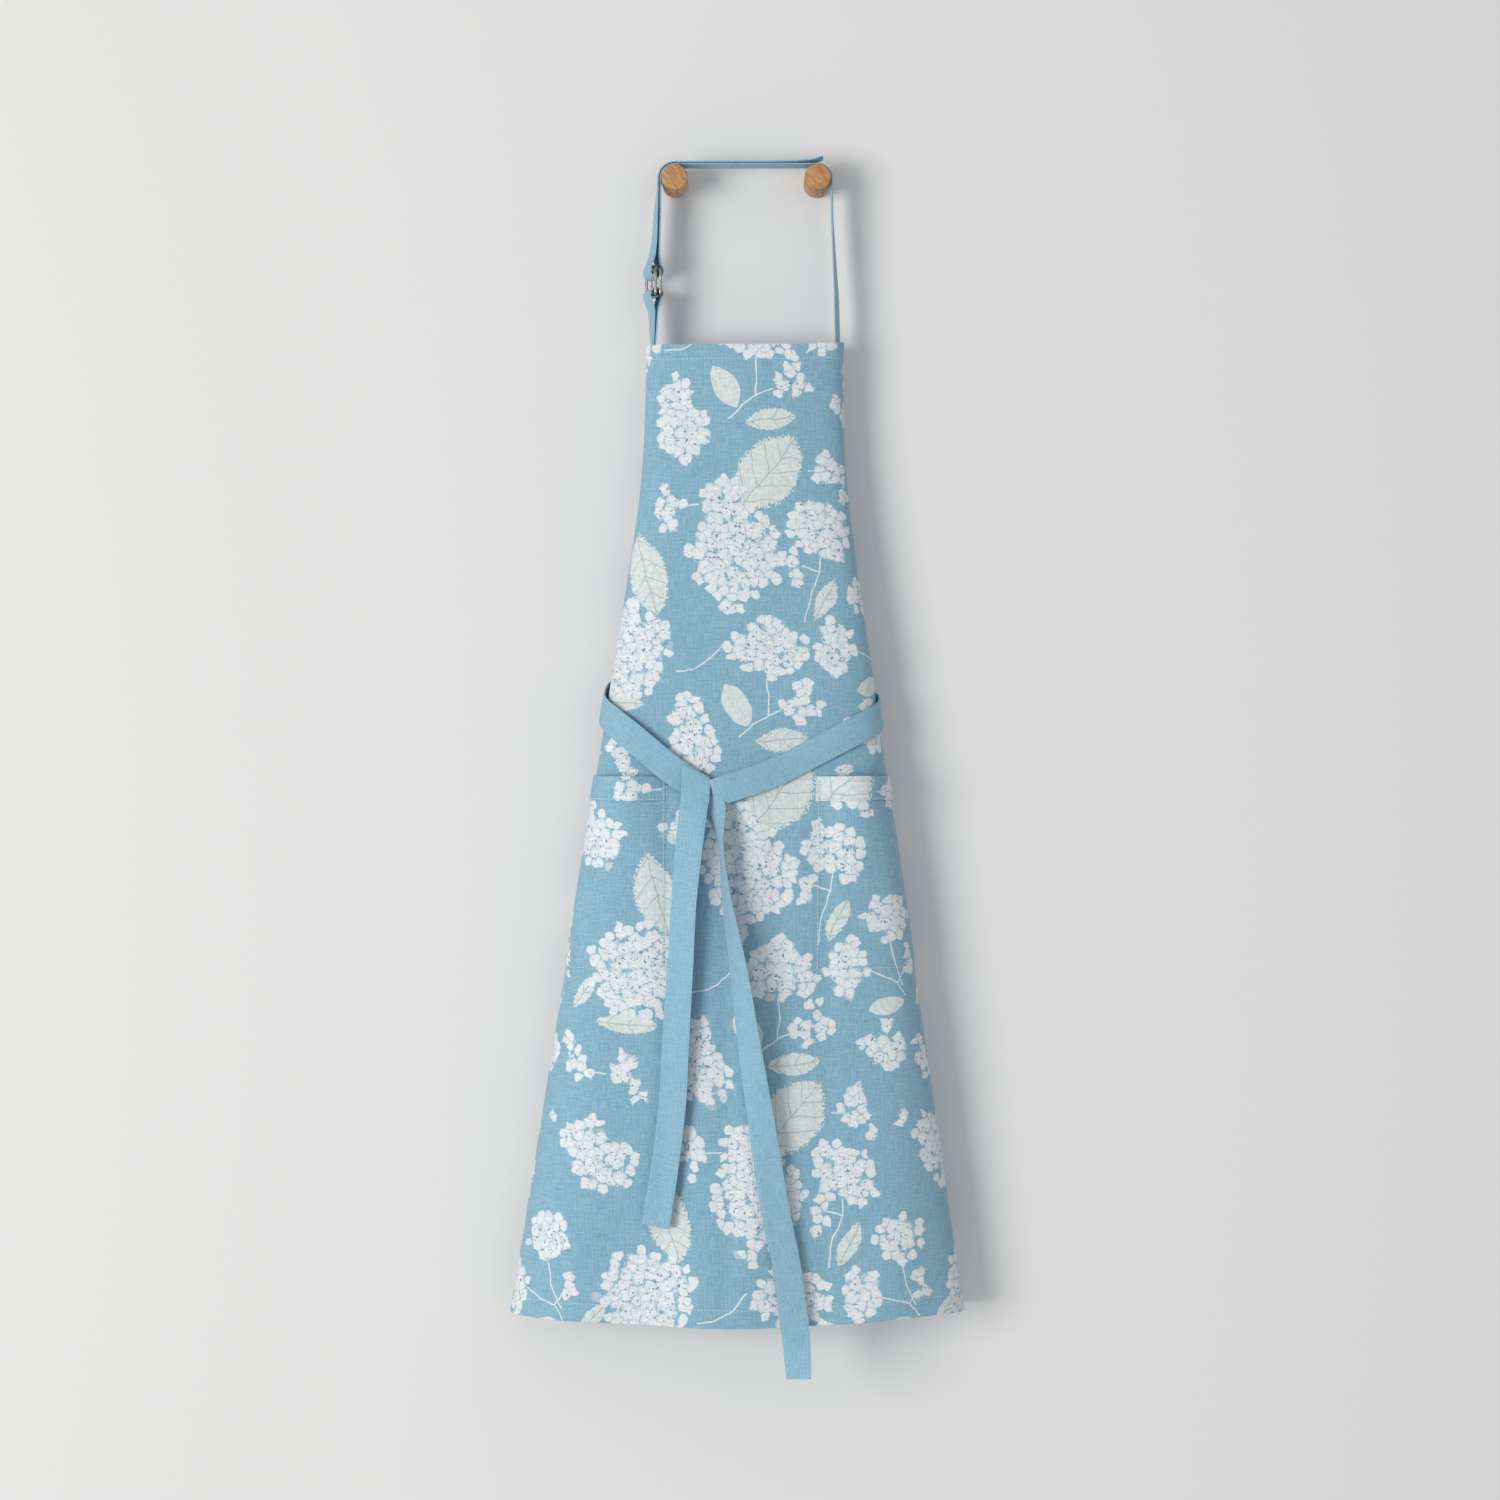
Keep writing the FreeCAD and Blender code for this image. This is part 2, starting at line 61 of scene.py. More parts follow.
# %% Camera
VIEW_WIDTH = 1.354
VIEW_DISTANCE = 3.0
CLOTH_PLANE = -0.060
SENSOR = 36.0
camera_data = bpy.data.cameras.new("room_camera")
camera_data.sensor_width = SENSOR
camera_data.lens = SENSOR * VIEW_DISTANCE / VIEW_WIDTH
camera = bpy.data.objects.new("room_camera", camera_data)
bpy.context.scene.collection.objects.link(camera)
camera.location = (0.0036, CLOTH_PLANE - VIEW_DISTANCE, -0.520)
camera.rotation_euler = (math.radians(90), 0, 0)
bpy.context.scene.camera = camera
print("lens", round(camera_data.lens, 1), "mm")

# %% [markdown]
# ## Where the cloth hangs
# A hanging apron is a squarish bulge in front that curls round each side and runs back behind
# itself. Seen from above, each height is one such line. A cloth simulation could find it, but
# its outline would drift from the CAD pieces, so the line is written down and the wrinkles are
# added to it.

# %% Sizes of the hanging cloth, in millimetres
APRON_LENGTH, WAIST_DOWN = 876.0, 262.0
BIB_HALF_WIDTH, SKIRT_HALF_WIDTH = 122.0, 310.0
BIB_TOP_DROP = 154.0
SIDE_AT_TOP, FLARE_FROM, FLARE, FLARE_SOFTNESS = 89.0, 112.0, 0.1525, 30.0
LEAN = (-1.0, -8.0)
FRONT = (-52.0, -95.0)
SIDE_DEPTH = (-26.0, -32.0)
SQUARENESS = (3.6, 2.3)
CURL_WIDTH = 20.0
BACK_AT = {-1: -9.0, 1: -17.0}
CLOTH, LAYER_GAP = 1.0, 0.3
SKIRT_SAG, CORNER_LIFT, TOP_LIFT = 6.0, 3.5, 1.5
print("the skirt is", 2 * SKIRT_HALF_WIDTH, "mm wide when it lies flat")

# %% The line at one height
def mix(pair, share):
    return pair[0] + (pair[1] - pair[0]) * share


def plan_line(down):
    """The cloth's line from above at one height: signed length along it, x and y."""
    share = down / APRON_LENGTH
    past = (down - FLARE_FROM) / FLARE_SOFTNESS
    half = SIDE_AT_TOP + FLARE * FLARE_SOFTNESS * math.log1p(math.exp(past))
    side_y = mix(SIDE_DEPTH, share)
    bulge = side_y - mix(FRONT, share)
    power = 2.0 / mix(SQUARENESS, share)
    t = np.linspace(0, 0.5 * math.pi, 65)
    front_x, front_y = half * np.sin(t) ** power, side_y - bulge * np.maximum(np.cos(t), 0) ** power
    t = np.linspace(0, 0.5 * math.pi, 17)[1:]
    sides = []
    for side in (-1, 1):
        curl = BACK_AT[side] - side_y
        x = np.concatenate([front_x, half - CURL_WIDTH * (1 - np.cos(t)), [half - 700.0]])
        y = np.concatenate([front_y, side_y + curl * np.sin(t), [side_y + curl]])
        length = np.concatenate([[0], np.cumsum(np.hypot(np.diff(x), np.diff(y)))])
        sides.append((side * length, mix(LEAN, share) + side * x, y))
    (sl, xl, yl), (sr, xr, yr) = sides
    return tuple(np.concatenate([a[::-1], b[1:]]) for a, b in ((sl, sr), (xl, xr), (yl, yr)))


print("half the apron's width at the hem:", round(float(plan_line(APRON_LENGTH)[1].max())), "mm")

# %% [markdown]
# ## Wrinkles
# Hung linen is never flat. It has long shallow flutes that grow towards the hem, dents under the knot and a
# soft roll above the waist. Each is a sine wave or a smooth bump over the flat pattern, which can be placed one
# by one, where noise alone would look like crumpled paper.

# %% Wrinkles
def bump(value, centre, width):
    return np.exp(-((value - centre) / width) ** 2)


def wrinkles(across, down):
    """How far the cloth stands off its plain line, in millimetres: folds, puffs and flutes."""
    a, d = across, down
    low = np.clip(d / APRON_LENGTH, 0, 1)
    out = 0.9 * np.sin(a / 31 + 0.6 + d / 240) * np.sin(d / 83 + 1.1)
    out += 0.6 * np.sin(a / 17 - d / 61 + 2.0) * np.sin(d / 47)
    out += (0.5 + 3.2 * low ** 2) * np.sin(a / 23.5 + 1.9 + 0.35 * np.sin(d / 120))
    below = np.clip((d - 405) / 40, 0, 1) * np.exp(-np.maximum(d - 405, 0) / 330)
    out += below * (4.0 * bump(a, 14, 13) - 4.5 * bump(a, -10, 9) + 2.5 * bump(a, -36, 12))
    out -= below * (3.2 * bump(a, -66, 10) - 2.2 * bump(a, 52, 16) + 2.4 * bump(a, 78, 9))
    waist = 385 - 65 * np.clip(np.abs(a + 40) / 150, 0, 1)
    out += 2.2 * bump(d, waist - 32, 24) - 2.0 * bump(d, waist + 6, 14)
    out += 1.2 * bump(d, 40, 45) * np.sin(a / 27 + 0.8)
    front = 1 / (1 + np.exp((np.abs(a) - 88 - 0.11 * d) / 7))
    return out * front * np.clip(d / 14, 0.25, 1)


print("a fold below the knot stands", round(float(wrinkles(14, 460)), 1), "mm off")

# %% [markdown]
# ## Hanging a point
# The last step turns a place on the flat pattern into a point in the room. It finds the line
# at that height, walks along it and steps off it by the wrinkle, along the cloth's own outward
# direction. Every piece of cloth below goes through this one function.

# %% Hanging
def hang(across, down, off=0.0):
    """Points and outward directions where (across, down) hangs, off millimetres outwards."""
    across, down, off = np.broadcast_arrays(*(np.asarray(v, float) for v in (across, down, off)))
    shape = across.shape
    a, d, w = across.ravel(), down.ravel(), (off + wrinkles(across, down)).ravel()
    place, way = np.zeros((a.size, 3)), np.zeros((a.size, 3))
    for level in np.unique(d):
        at = np.nonzero(d == level)[0]
        s, x, y = plan_line(level)
        px, py = np.interp(a[at], s, x), np.interp(a[at], s, y)
        tx = np.interp(a[at] + 1, s, x) - np.interp(a[at] - 1, s, x)
        ty = np.interp(a[at] + 1, s, y) - np.interp(a[at] - 1, s, y)
        run = np.hypot(tx, ty)
        way[at, 0], way[at, 1] = ty / run, -tx / run
        place[at, 0] = px + way[at, 0] * w[at]
        place[at, 1] = py + way[at, 1] * w[at]
        belly = np.exp(-(a[at] / 130) ** 2) - 0.4 * np.exp(-((a[at] - 175) / 60) ** 2)
        sag = SKIRT_SAG * (level / APRON_LENGTH) ** 2 * belly
        corner = CORNER_LIFT * np.exp(-level / 26) * (1 / (1 + np.exp((72 - a[at]) / 9)))
        place[at, 2] = -BIB_TOP_DROP - level - sag + corner + TOP_LIFT * np.exp(-level / 60)
    return place.reshape(shape + (3,)), way.reshape(shape + (3,))


def half_width(down):
    """Half the flat cloth: the armhole curves out from the bib to the waist."""
    share = np.minimum(np.asarray(down, float) / WAIST_DOWN, 1.0)
    return mix((BIB_HALF_WIDTH, SKIRT_HALF_WIDTH), share ** 2.2)


print("front of the hem hangs at y =", round(float(hang(0, APRON_LENGTH)[0][1]), 1), "mm")

# %% [markdown]
# ## Turning rows of points into cloth
# Every soft piece is a grid of points with a thickness. It could be a single surface with a
# Solidify modifier, but building both faces and the rim here lets the hems be thicker, the
# edges rounder and the reverse side a material of its own.

# %% A mesh object
SHARP_ANGLE = 55.0


def new_object(name, vertices, faces, materials, body):
    mesh = bpy.data.meshes.new(name)
    mesh.from_pydata([tuple(v) for v in np.asarray(vertices) * MM], [], faces)
    for material in materials:
        mesh.materials.append(material)
    mesh.shade_smooth()
    mesh.set_sharp_from_angle(angle=math.radians(SHARP_ANGLE))
    obj = bpy.data.objects.new(name, mesh)
    bpy.context.scene.collection.objects.link(obj)
    if body:
        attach(obj, body)
    return obj


print("edges sharper than", SHARP_ANGLE, "degrees stay crisp")

# %% A piece of cloth
def cloth_piece(name, place, way, outer, inner, cloth_uv, materials, body):
    """A closed piece of cloth over a grid of points; outer and inner are its faces' offsets."""
    rows, columns = place.shape[:2]
    outer, inner = (np.broadcast_to(v, (rows, columns))[..., None] for v in (outer, inner))
    points = np.concatenate([(place + way * outer).reshape(-1, 3), (place + way * inner).reshape(-1, 3)])
    count = rows * columns
    grid = np.arange(count).reshape(rows, columns)
    a, b, c, d = grid[:-1, :-1], grid[:-1, 1:], grid[1:, 1:], grid[1:, :-1]
    front = np.stack([a, d, c, b], -1).reshape(-1, 4)
    back = np.stack([a, b, c, d], -1).reshape(-1, 4) + count
    ring = np.concatenate([grid[0], grid[1:, -1], grid[-1, -2::-1], grid[-2:0:-1, 0]])
    turn = np.roll(ring, -1)
    rim = np.stack([ring, turn, turn + count, ring + count], -1)
    faces = np.concatenate([front, back, rim])
    obj = new_object(name, points, faces.tolist(), materials, None)
    layer = obj.data.uv_layers.new(name="cloth")
    flat = cloth_uv.reshape(-1, 2)
    loops = np.zeros(len(obj.data.loops), np.int32)
    obj.data.loops.foreach_get("vertex_index", loops)
    layer.data.foreach_set("uv", (flat[loops % count] * MM).astype(np.float32).ravel())
    kinds = np.zeros(len(faces), np.int32)
    kinds[len(front):len(front) + len(back)] = len(materials) - 1
    obj.data.polygons.foreach_set("material_index", kinds)
    if body:
        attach(obj, body)
    print(f"{name}: {len(points)} points")
    return obj


# %% A grid over the flat pattern
def flat_grid(left, right, top, bottom, step):
    """Places (across, down) over a patch whose edges may curve; left and right take a down."""
    downs = np.linspace(top, bottom, max(4, int(round((bottom - top) / step)) + 1))
    wide = float(np.max(right(downs) - left(downs)))
    shares = np.linspace(0, 1, max(4, int(round(wide / step)) + 1))
    across = left(downs)[:, None] + (right(downs) - left(downs))[:, None] * shares[None, :]
    return across, np.broadcast_to(downs[:, None], across.shape)


print("a patch of 10 by 20 mm in 5 mm steps has",
      flat_grid(lambda v: 0 * v, lambda v: 10 + 0 * v, 0.0, 20.0, 5.0)[0].size, "points")

# %% [markdown]
# ## Colours and a way to build materials
# Colours are written as sRGB hex codes, which are easy to look up, and one function turns them
# to the linear values that Blender shades with. A second small function adds a node with its
# settings and links, so that a material reads as a list of what it is made from.

# %% Colour
def linear(code, alpha=1.0):
    """An sRGB hex colour as linear RGBA."""
    parts = [int(code[i:i + 2], 16) / 255 for i in (1, 3, 5)]
    return tuple(c / 12.92 if c <= 0.04045 else ((c + 0.055) / 1.055) ** 2.4 for c in parts) + (alpha,)


print("mid grey is", round(linear("#808080")[0], 3), "in linear light")

# %% Nodes
def add(tree, kind, inputs, pick=0, **settings):
    """Add a node, set it, feed its inputs with values or other outputs, and give one output."""
    node = tree.nodes.new("ShaderNode" + kind)
    for key, value in settings.items():
        setattr(node, key, value)
    for key, value in inputs.items():
        if isinstance(value, bpy.types.NodeSocket):
            tree.links.new(value, node.inputs[key])
        else:
            node.inputs[key].default_value = value
    return node.outputs[pick]


def ramp(tree, value, low, high, start=0.0, end=1.0):
    """A value moved smoothly from start to end as it goes from low to high."""
    return add(tree, "MapRange", {0: value, 1: low, 2: high, 3: start, 4: end},
               interpolation_type="SMOOTHSTEP")


def blend_colours(tree, share, first, second, how="MIX"):
    return add(tree, "Mix", {0: share, 6: first, 7: second}, pick=2, data_type="RGBA", blend_type=how)


def new_material(name):
    material = bpy.data.materials.new(name)
    material.use_nodes = True
    tree = material.node_tree
    shader = tree.nodes["Principled BSDF"]
    return material, tree, shader


def finish_material(tree, shader, colour, roughness, height, depth):
    """Plug a colour, a roughness and a bump height into the shader."""
    tree.links.new(colour, shader.inputs["Base Color"])
    tree.links.new(roughness, shader.inputs["Roughness"])
    bump_out = add(tree, "Bump", {"Height": height, "Strength": 1.0, "Distance": depth})
    tree.links.new(bump_out, shader.inputs["Normal"])


print("material helpers are ready")

# %% [markdown]
# ## Linen
# The cloth is plain-woven linen, dyed blue. Flax yarn is uneven: thick slubs run along single
# threads both ways, and that is what the eye takes for linen. The real threads are 0.5 mm
# apart, too fine to show from three metres, so the weave is drawn with 1.2 mm threads and the
# slubs with streaks 1.1 mm wide and 13 mm long. Linen is matt, with a faint sheen at the edges.

# %% Linen weave
THREAD = 1.2 * MM
SLUB_WIDTH, SLUB_LENGTH = 1.1 * MM, 13.0 * MM
LINEN_ROUGHNESS, ROUGHNESS_DRIFT = 0.82, 0.06
LINEN_RELIEF = 0.4 * MM


def linen_weave(tree, cloth):
    """The weave's height, and its slubs as a value about 0.5, from the cloth's own UV map."""
    yarn = {"Vector": cloth, "Scale": 1 / (THREAD * 6.283) * 2, "Distortion": 0.6, "Detail": 1.0,
            "Detail Scale": 40.0}
    threads = [add(tree, "TexWave", yarn, pick=1, bands_direction=way, wave_type="BANDS") for way in ("X", "Y")]
    weave = add(tree, "Math", {0: threads[0], 1: threads[1]}, operation="MULTIPLY")
    slubs = []
    for stretch in ((SLUB_WIDTH, SLUB_LENGTH), (SLUB_LENGTH, SLUB_WIDTH)):
        scale = (1 / stretch[0], 1 / stretch[1], 1)
        scaled = add(tree, "VectorMath", {0: cloth, 1: scale}, operation="MULTIPLY")
        slubs.append(add(tree, "TexNoise", {"Vector": scaled, "Scale": 1.0, "Detail": 2.0, "Roughness": 0.6}))
    slub = add(tree, "Math", {0: slubs[0], 1: slubs[1]}, operation="ADD")
    slub = add(tree, "Math", {0: slub, 1: 0.5}, operation="MULTIPLY")
    height = add(tree, "Math", {0: slub, 1: 1.6, 2: weave}, operation="MULTIPLY_ADD")
    return height, slub


def linen_finish(tree, shader, colour, height, slub, sheen):
    """The weave's relief, roughness and faint sheen under any colour."""
    shader.inputs["Sheen Weight"].default_value = sheen
    shader.inputs["Sheen Roughness"].default_value = 0.5
    rough = ramp(tree, slub, 0.3, 0.7, LINEN_ROUGHNESS + ROUGHNESS_DRIFT, LINEN_ROUGHNESS - ROUGHNESS_DRIFT)
    finish_material(tree, shader, colour, rough, height, LINEN_RELIEF)


# %% Dyed linen and cotton tape
def dyed_linen(name, light, dark):
    """Plain dyed linen: a ground colour that varies with the slubs."""
    material, tree, shader = new_material(name)
    cloth = add(tree, "UVMap", {}, uv_map="cloth")
    height, slub = linen_weave(tree, cloth)
    tone = ramp(tree, slub, 0.36, 0.64)
    colour = blend_colours(tree, tone, linear(dark), linear(light))
    linen_finish(tree, shader, colour, height, slub, 0.25)
    return material


strap_linen = dyed_linen("dyed_linen_strap", "#92BED3", "#7FADC5")
tie_linen = dyed_linen("dyed_linen_tie", "#92BED3", "#7FADC5")
tape_cotton = dyed_linen("dyed_cotton_tape", "#A3C6D6", "#8DB6CA")
print("linen threads every", THREAD / MM, "mm")

# %% [markdown]
# ## The printed flowers
# The cloth is printed with white hydrangea heads, loose petals, leaves and thin stems, in a
# tile of 320 by 288 mm that repeats, cut a little off the straight. An image could hold it,
# but a procedural print stays sharp at any distance. Each motif is only a place and a size.

# %% The print's motifs, in millimetres across and down the tile
TILE_WIDTH, TILE_HEIGHT = 320.0, 288.0
PRINT_SKEW = 0.0434
PETAL = 8.4
# heads: across, down, half width, half height
HEADS = [
    (-15, 186, 43, 46), (-24, 142, 24, 22), (-24, 236, 11, 8), (-63, 50, 18, 22), (-58, 78, 24, 27),
    (42, 18, 7, 9), (30, 36, 9, 9), (48, 38, 10, 9), (38, 49, 6, 6), (11, 276, 38, 23), (10, 258, 20, 14),
    (74, 98, 7, 8), (70, 114, 13, 12), (84, 117, 9, 8), (88, 134, 7, 8), (62, 166, 29, 24), (50, 150, 14, 12),
    (76, 184, 14, 12), (38, 195, 8, 9), (40, 213, 9, 9), (72, 274, 18, 27), (130, 262, 6, 8), (132, 276, 7, 8),
    (112, 228, 25, 22), (107, 62, 17, 18), (85, 50, 7, 7), (104, 36, 7, 8), (122, 58, 8, 9), (118, 122, 6, 9),
    (-120, 276, 43, 45), (-90, 262, 16, 20), (-138, 80, 9, 9), (-128, 66, 8, 8), (-127, 84, 9, 8),
    (-119, 97, 8, 7), (138, 49, 7, 8), (142, 66, 10, 10), (152, 79, 8, 8), (-170, 136, 22, 19),
    (-154, 158, 30, 27), (-76, 128, 6, 9), (-73, 145, 12, 10), (-83, 150, 8, 8), (-75, 163, 6, 7),
]
# leaves: across, down, half length, half width, turn in degrees, whether it is toothed and veined
LEAVES = [
    (17, 116, 40, 26, -48, 1.0), (-19, 38, 21, 12, 62, 0.0), (21, 68, 24, 10, -4, 1.0),
    (65, 230, 21, 8, -62, 1.0), (-97, 207, 38, 19, 76, 1.0), (-128, 34, 28, 9, 4, 1.0),
    (107, 20, 17, 8, -15, 0.0), (-167, 8, 17, 7, -50, 1.0),
]
# stems: strokes as rows of points
STEMS = [
    [(-18, 66), (-6, 56), (8, 46), (22, 41)], [(14, -6), (9, 12), (10, 30), (8, 46)],
    [(10, 12), (20, 2)], [(54, 114), (64, 114)], [(-62, 146), (-48, 145)],
    [(62, 190), (60, 205), (52, 222), (46, 250)],
    [(60, 205), (44, 200)], [(-72, 294), (-58, 292), (-44, 285), (-28, 270)],
    [(88, 276), (104, 282), (118, 288), (126, 300)], [(118, 288), (126, 278)],
    [(112, 250), (116, 270), (124, 290)],
    [(-162, 78), (-148, 80)],
]
print(len(HEADS), "heads and petals,", len(LEAVES), "leaves in a tile")

# %% [markdown]
# ## From motifs to distances
# A shader can't draw a shape, but it can say how far a point is from one. For every motif the
# point is first moved to the motif's own centre, the short way round the tile, so that the
# print repeats without a seam. A head is an ellipse, a leaf is the overlap of two circles, and
# a stem is a row of short straight strokes.

# %% Places in the tile
def tile_place(tree, point, centre, turn=0.0):
    """The point measured from a motif's centre, the short way round the repeating tile."""
    away = add(tree, "VectorMath", {0: point, 1: (centre[0], centre[1], 0)}, operation="SUBTRACT")
    half = (TILE_WIDTH / 2, TILE_HEIGHT / 2, 1)
    away = add(tree, "VectorMath", {0: away, 1: half, 2: tuple(-h for h in half)}, operation="WRAP")
    if turn:
        away = add(tree, "VectorRotate", {"Vector": away, "Angle": -math.radians(turn)},
                   rotation_type="Z_AXIS")
    return away


print("the tile is", TILE_WIDTH, "by", TILE_HEIGHT, "mm")

# %% Flower heads
def nearest_head(tree, point):
    """Under 1 inside a flower head, 1 on its outline."""
    best = None
    for across, down, wide, high in HEADS:
        away = tile_place(tree, point, (across, down))
        away = add(tree, "VectorMath", {0: away, 1: (1 / wide, 1 / high, 0)}, operation="MULTIPLY")
        size = add(tree, "VectorMath", {0: away}, pick=1, operation="LENGTH")
        best = size if best is None else add(tree, "Math", {0: best, 1: size}, operation="MINIMUM")
    return best


print("the largest head is", 2 * max(head[2] for head in HEADS), "mm wide")

# %% Leaves
VEIN_PITCH, VEIN_SLANT, TOOTH_SHARE = 8.5, 0.9, 0.07


def leaf_shapes(tree, point, tooth):
    """How deep inside a leaf the point is, and how dark its veins are."""
    depth, vein = None, None
    for across, down, long, wide, turn, veined in LEAVES:
        away = tile_place(tree, point, (across, down), turn)
        size = add(tree, "VectorMath", {0: away}, operation="ABSOLUTE")
        radius = (long * long + wide * wide) / (2 * wide)
        reach = add(tree, "VectorMath", {0: size, 1: (0, radius - wide, 0)}, operation="ADD")
        reach = add(tree, "VectorMath", {0: reach}, pick=1, operation="LENGTH")
        inside = add(tree, "Math", {0: radius, 1: reach}, operation="SUBTRACT")
        if veined:
            inside = add(tree, "Math", {0: tooth, 1: TOOTH_SHARE * wide, 2: inside}, operation="MULTIPLY_ADD")
            slant = add(tree, "VectorMath", {0: away, 1: (1, 0, 0)}, pick=1, operation="DOT_PRODUCT")
            side = add(tree, "VectorMath", {0: size, 1: (0, 1, 0)}, pick=1, operation="DOT_PRODUCT")
            slant = add(tree, "Math", {0: side, 1: -VEIN_SLANT, 2: slant}, operation="MULTIPLY_ADD")
            lines = add(tree, "Math", {0: slant, 1: VEIN_PITCH}, operation="PINGPONG")
            lines = add(tree, "Math", {0: lines, 1: side}, operation="MINIMUM")
            line = ramp(tree, lines, 0.15, 0.9, 1.0, 0.0)
            here = ramp(tree, inside, 0.2, 1.2)
            line = add(tree, "Math", {0: line, 1: here}, operation="MULTIPLY")
            vein = line if vein is None else add(tree, "Math", {0: vein, 1: line}, operation="MAXIMUM")
        depth = inside if depth is None else add(tree, "Math", {0: depth, 1: inside}, operation="MAXIMUM")
    return depth, vein


print("side veins every", 2 * VEIN_PITCH, "mm")

# %% Stems
def stem_distance(tree, point):
    """The distance to the nearest stem stroke."""
    best = None
    for row in STEMS:
        for (a0, d0), (a1, d1) in zip(row, row[1:]):
            turn = math.degrees(math.atan2(d1 - d0, a1 - a0))
            away = tile_place(tree, point, ((a0 + a1) / 2, (d0 + d1) / 2), turn)
            size = add(tree, "VectorMath", {0: away}, operation="ABSOLUTE")
            size = add(tree, "VectorMath", {0: size, 1: (math.hypot(a1 - a0, d1 - d0) / 2, 0, 0)},
                       operation="SUBTRACT")
            size = add(tree, "VectorMath", {0: size, 1: (0, 0, 0)}, operation="MAXIMUM")
            far = add(tree, "VectorMath", {0: size}, pick=1, operation="LENGTH")
            best = far if best is None else add(tree, "Math", {0: best, 1: far}, operation="MINIMUM")
    return best


print(sum(len(row) - 1 for row in STEMS), "strokes of stem")

# %% [markdown]
# ## The brush
# A painted flower has no ruled edge. Low noise bends the whole print by a few millimetres, and
# a finer noise makes the petals' outlines ragged. Noise could be added to each shape, but
# bending the point once does it for all of them.

# %% The bent point
BRUSH_BEND, PETAL_BEND = 9.0, 5.0


def bent(tree, point, scale, detail, amount):
    """The point moved about by noise, up to about half the amount each way."""
    push = add(tree, "TexNoise", {"Vector": point, "Scale": scale, "Detail": detail}, pick=1)
    push = add(tree, "VectorMath", {0: push, 1: (0.5, 0.5, 0.5)}, operation="SUBTRACT")
    return add(tree, "VectorMath", {0: push, 1: (amount, amount, 0), 2: point}, operation="MULTIPLY_ADD")


def print_point(tree, cloth):
    """Where a point of the cloth lies on the print, in millimetres: turned off the straight and bent."""
    point = add(tree, "VectorMath", {0: cloth, 1: (1 / MM, 1 / MM, 0)}, operation="MULTIPLY")
    along = add(tree, "VectorMath", {0: point, 1: (0, -PRINT_SKEW, 0)}, pick=1, operation="DOT_PRODUCT")
    shift = add(tree, "CombineXYZ", {0: along})
    point = add(tree, "VectorMath", {0: point, 1: shift}, operation="ADD")
    return bent(tree, point, 0.035, 3.0, BRUSH_BEND)


print("the brush wanders", BRUSH_BEND / 2, "mm each way")

# %% [markdown]
# ## Petals, leaves and stems in colour
# A Voronoi texture gives each petal a centre, and a petal is printed whole when its centre
# lies inside a head, so the heads get their lobed outline. Near the outline each petal shrinks
# to a round one and the ground shows between. The whites are not one white: they drift to
# pale blue, green and lilac, the petals darken towards their edges, and a few gaps are blue.

# %% The print's colours
def share_of(tree, value, share):
    return add(tree, "Math", {0: value, 1: share}, operation="MULTIPLY")


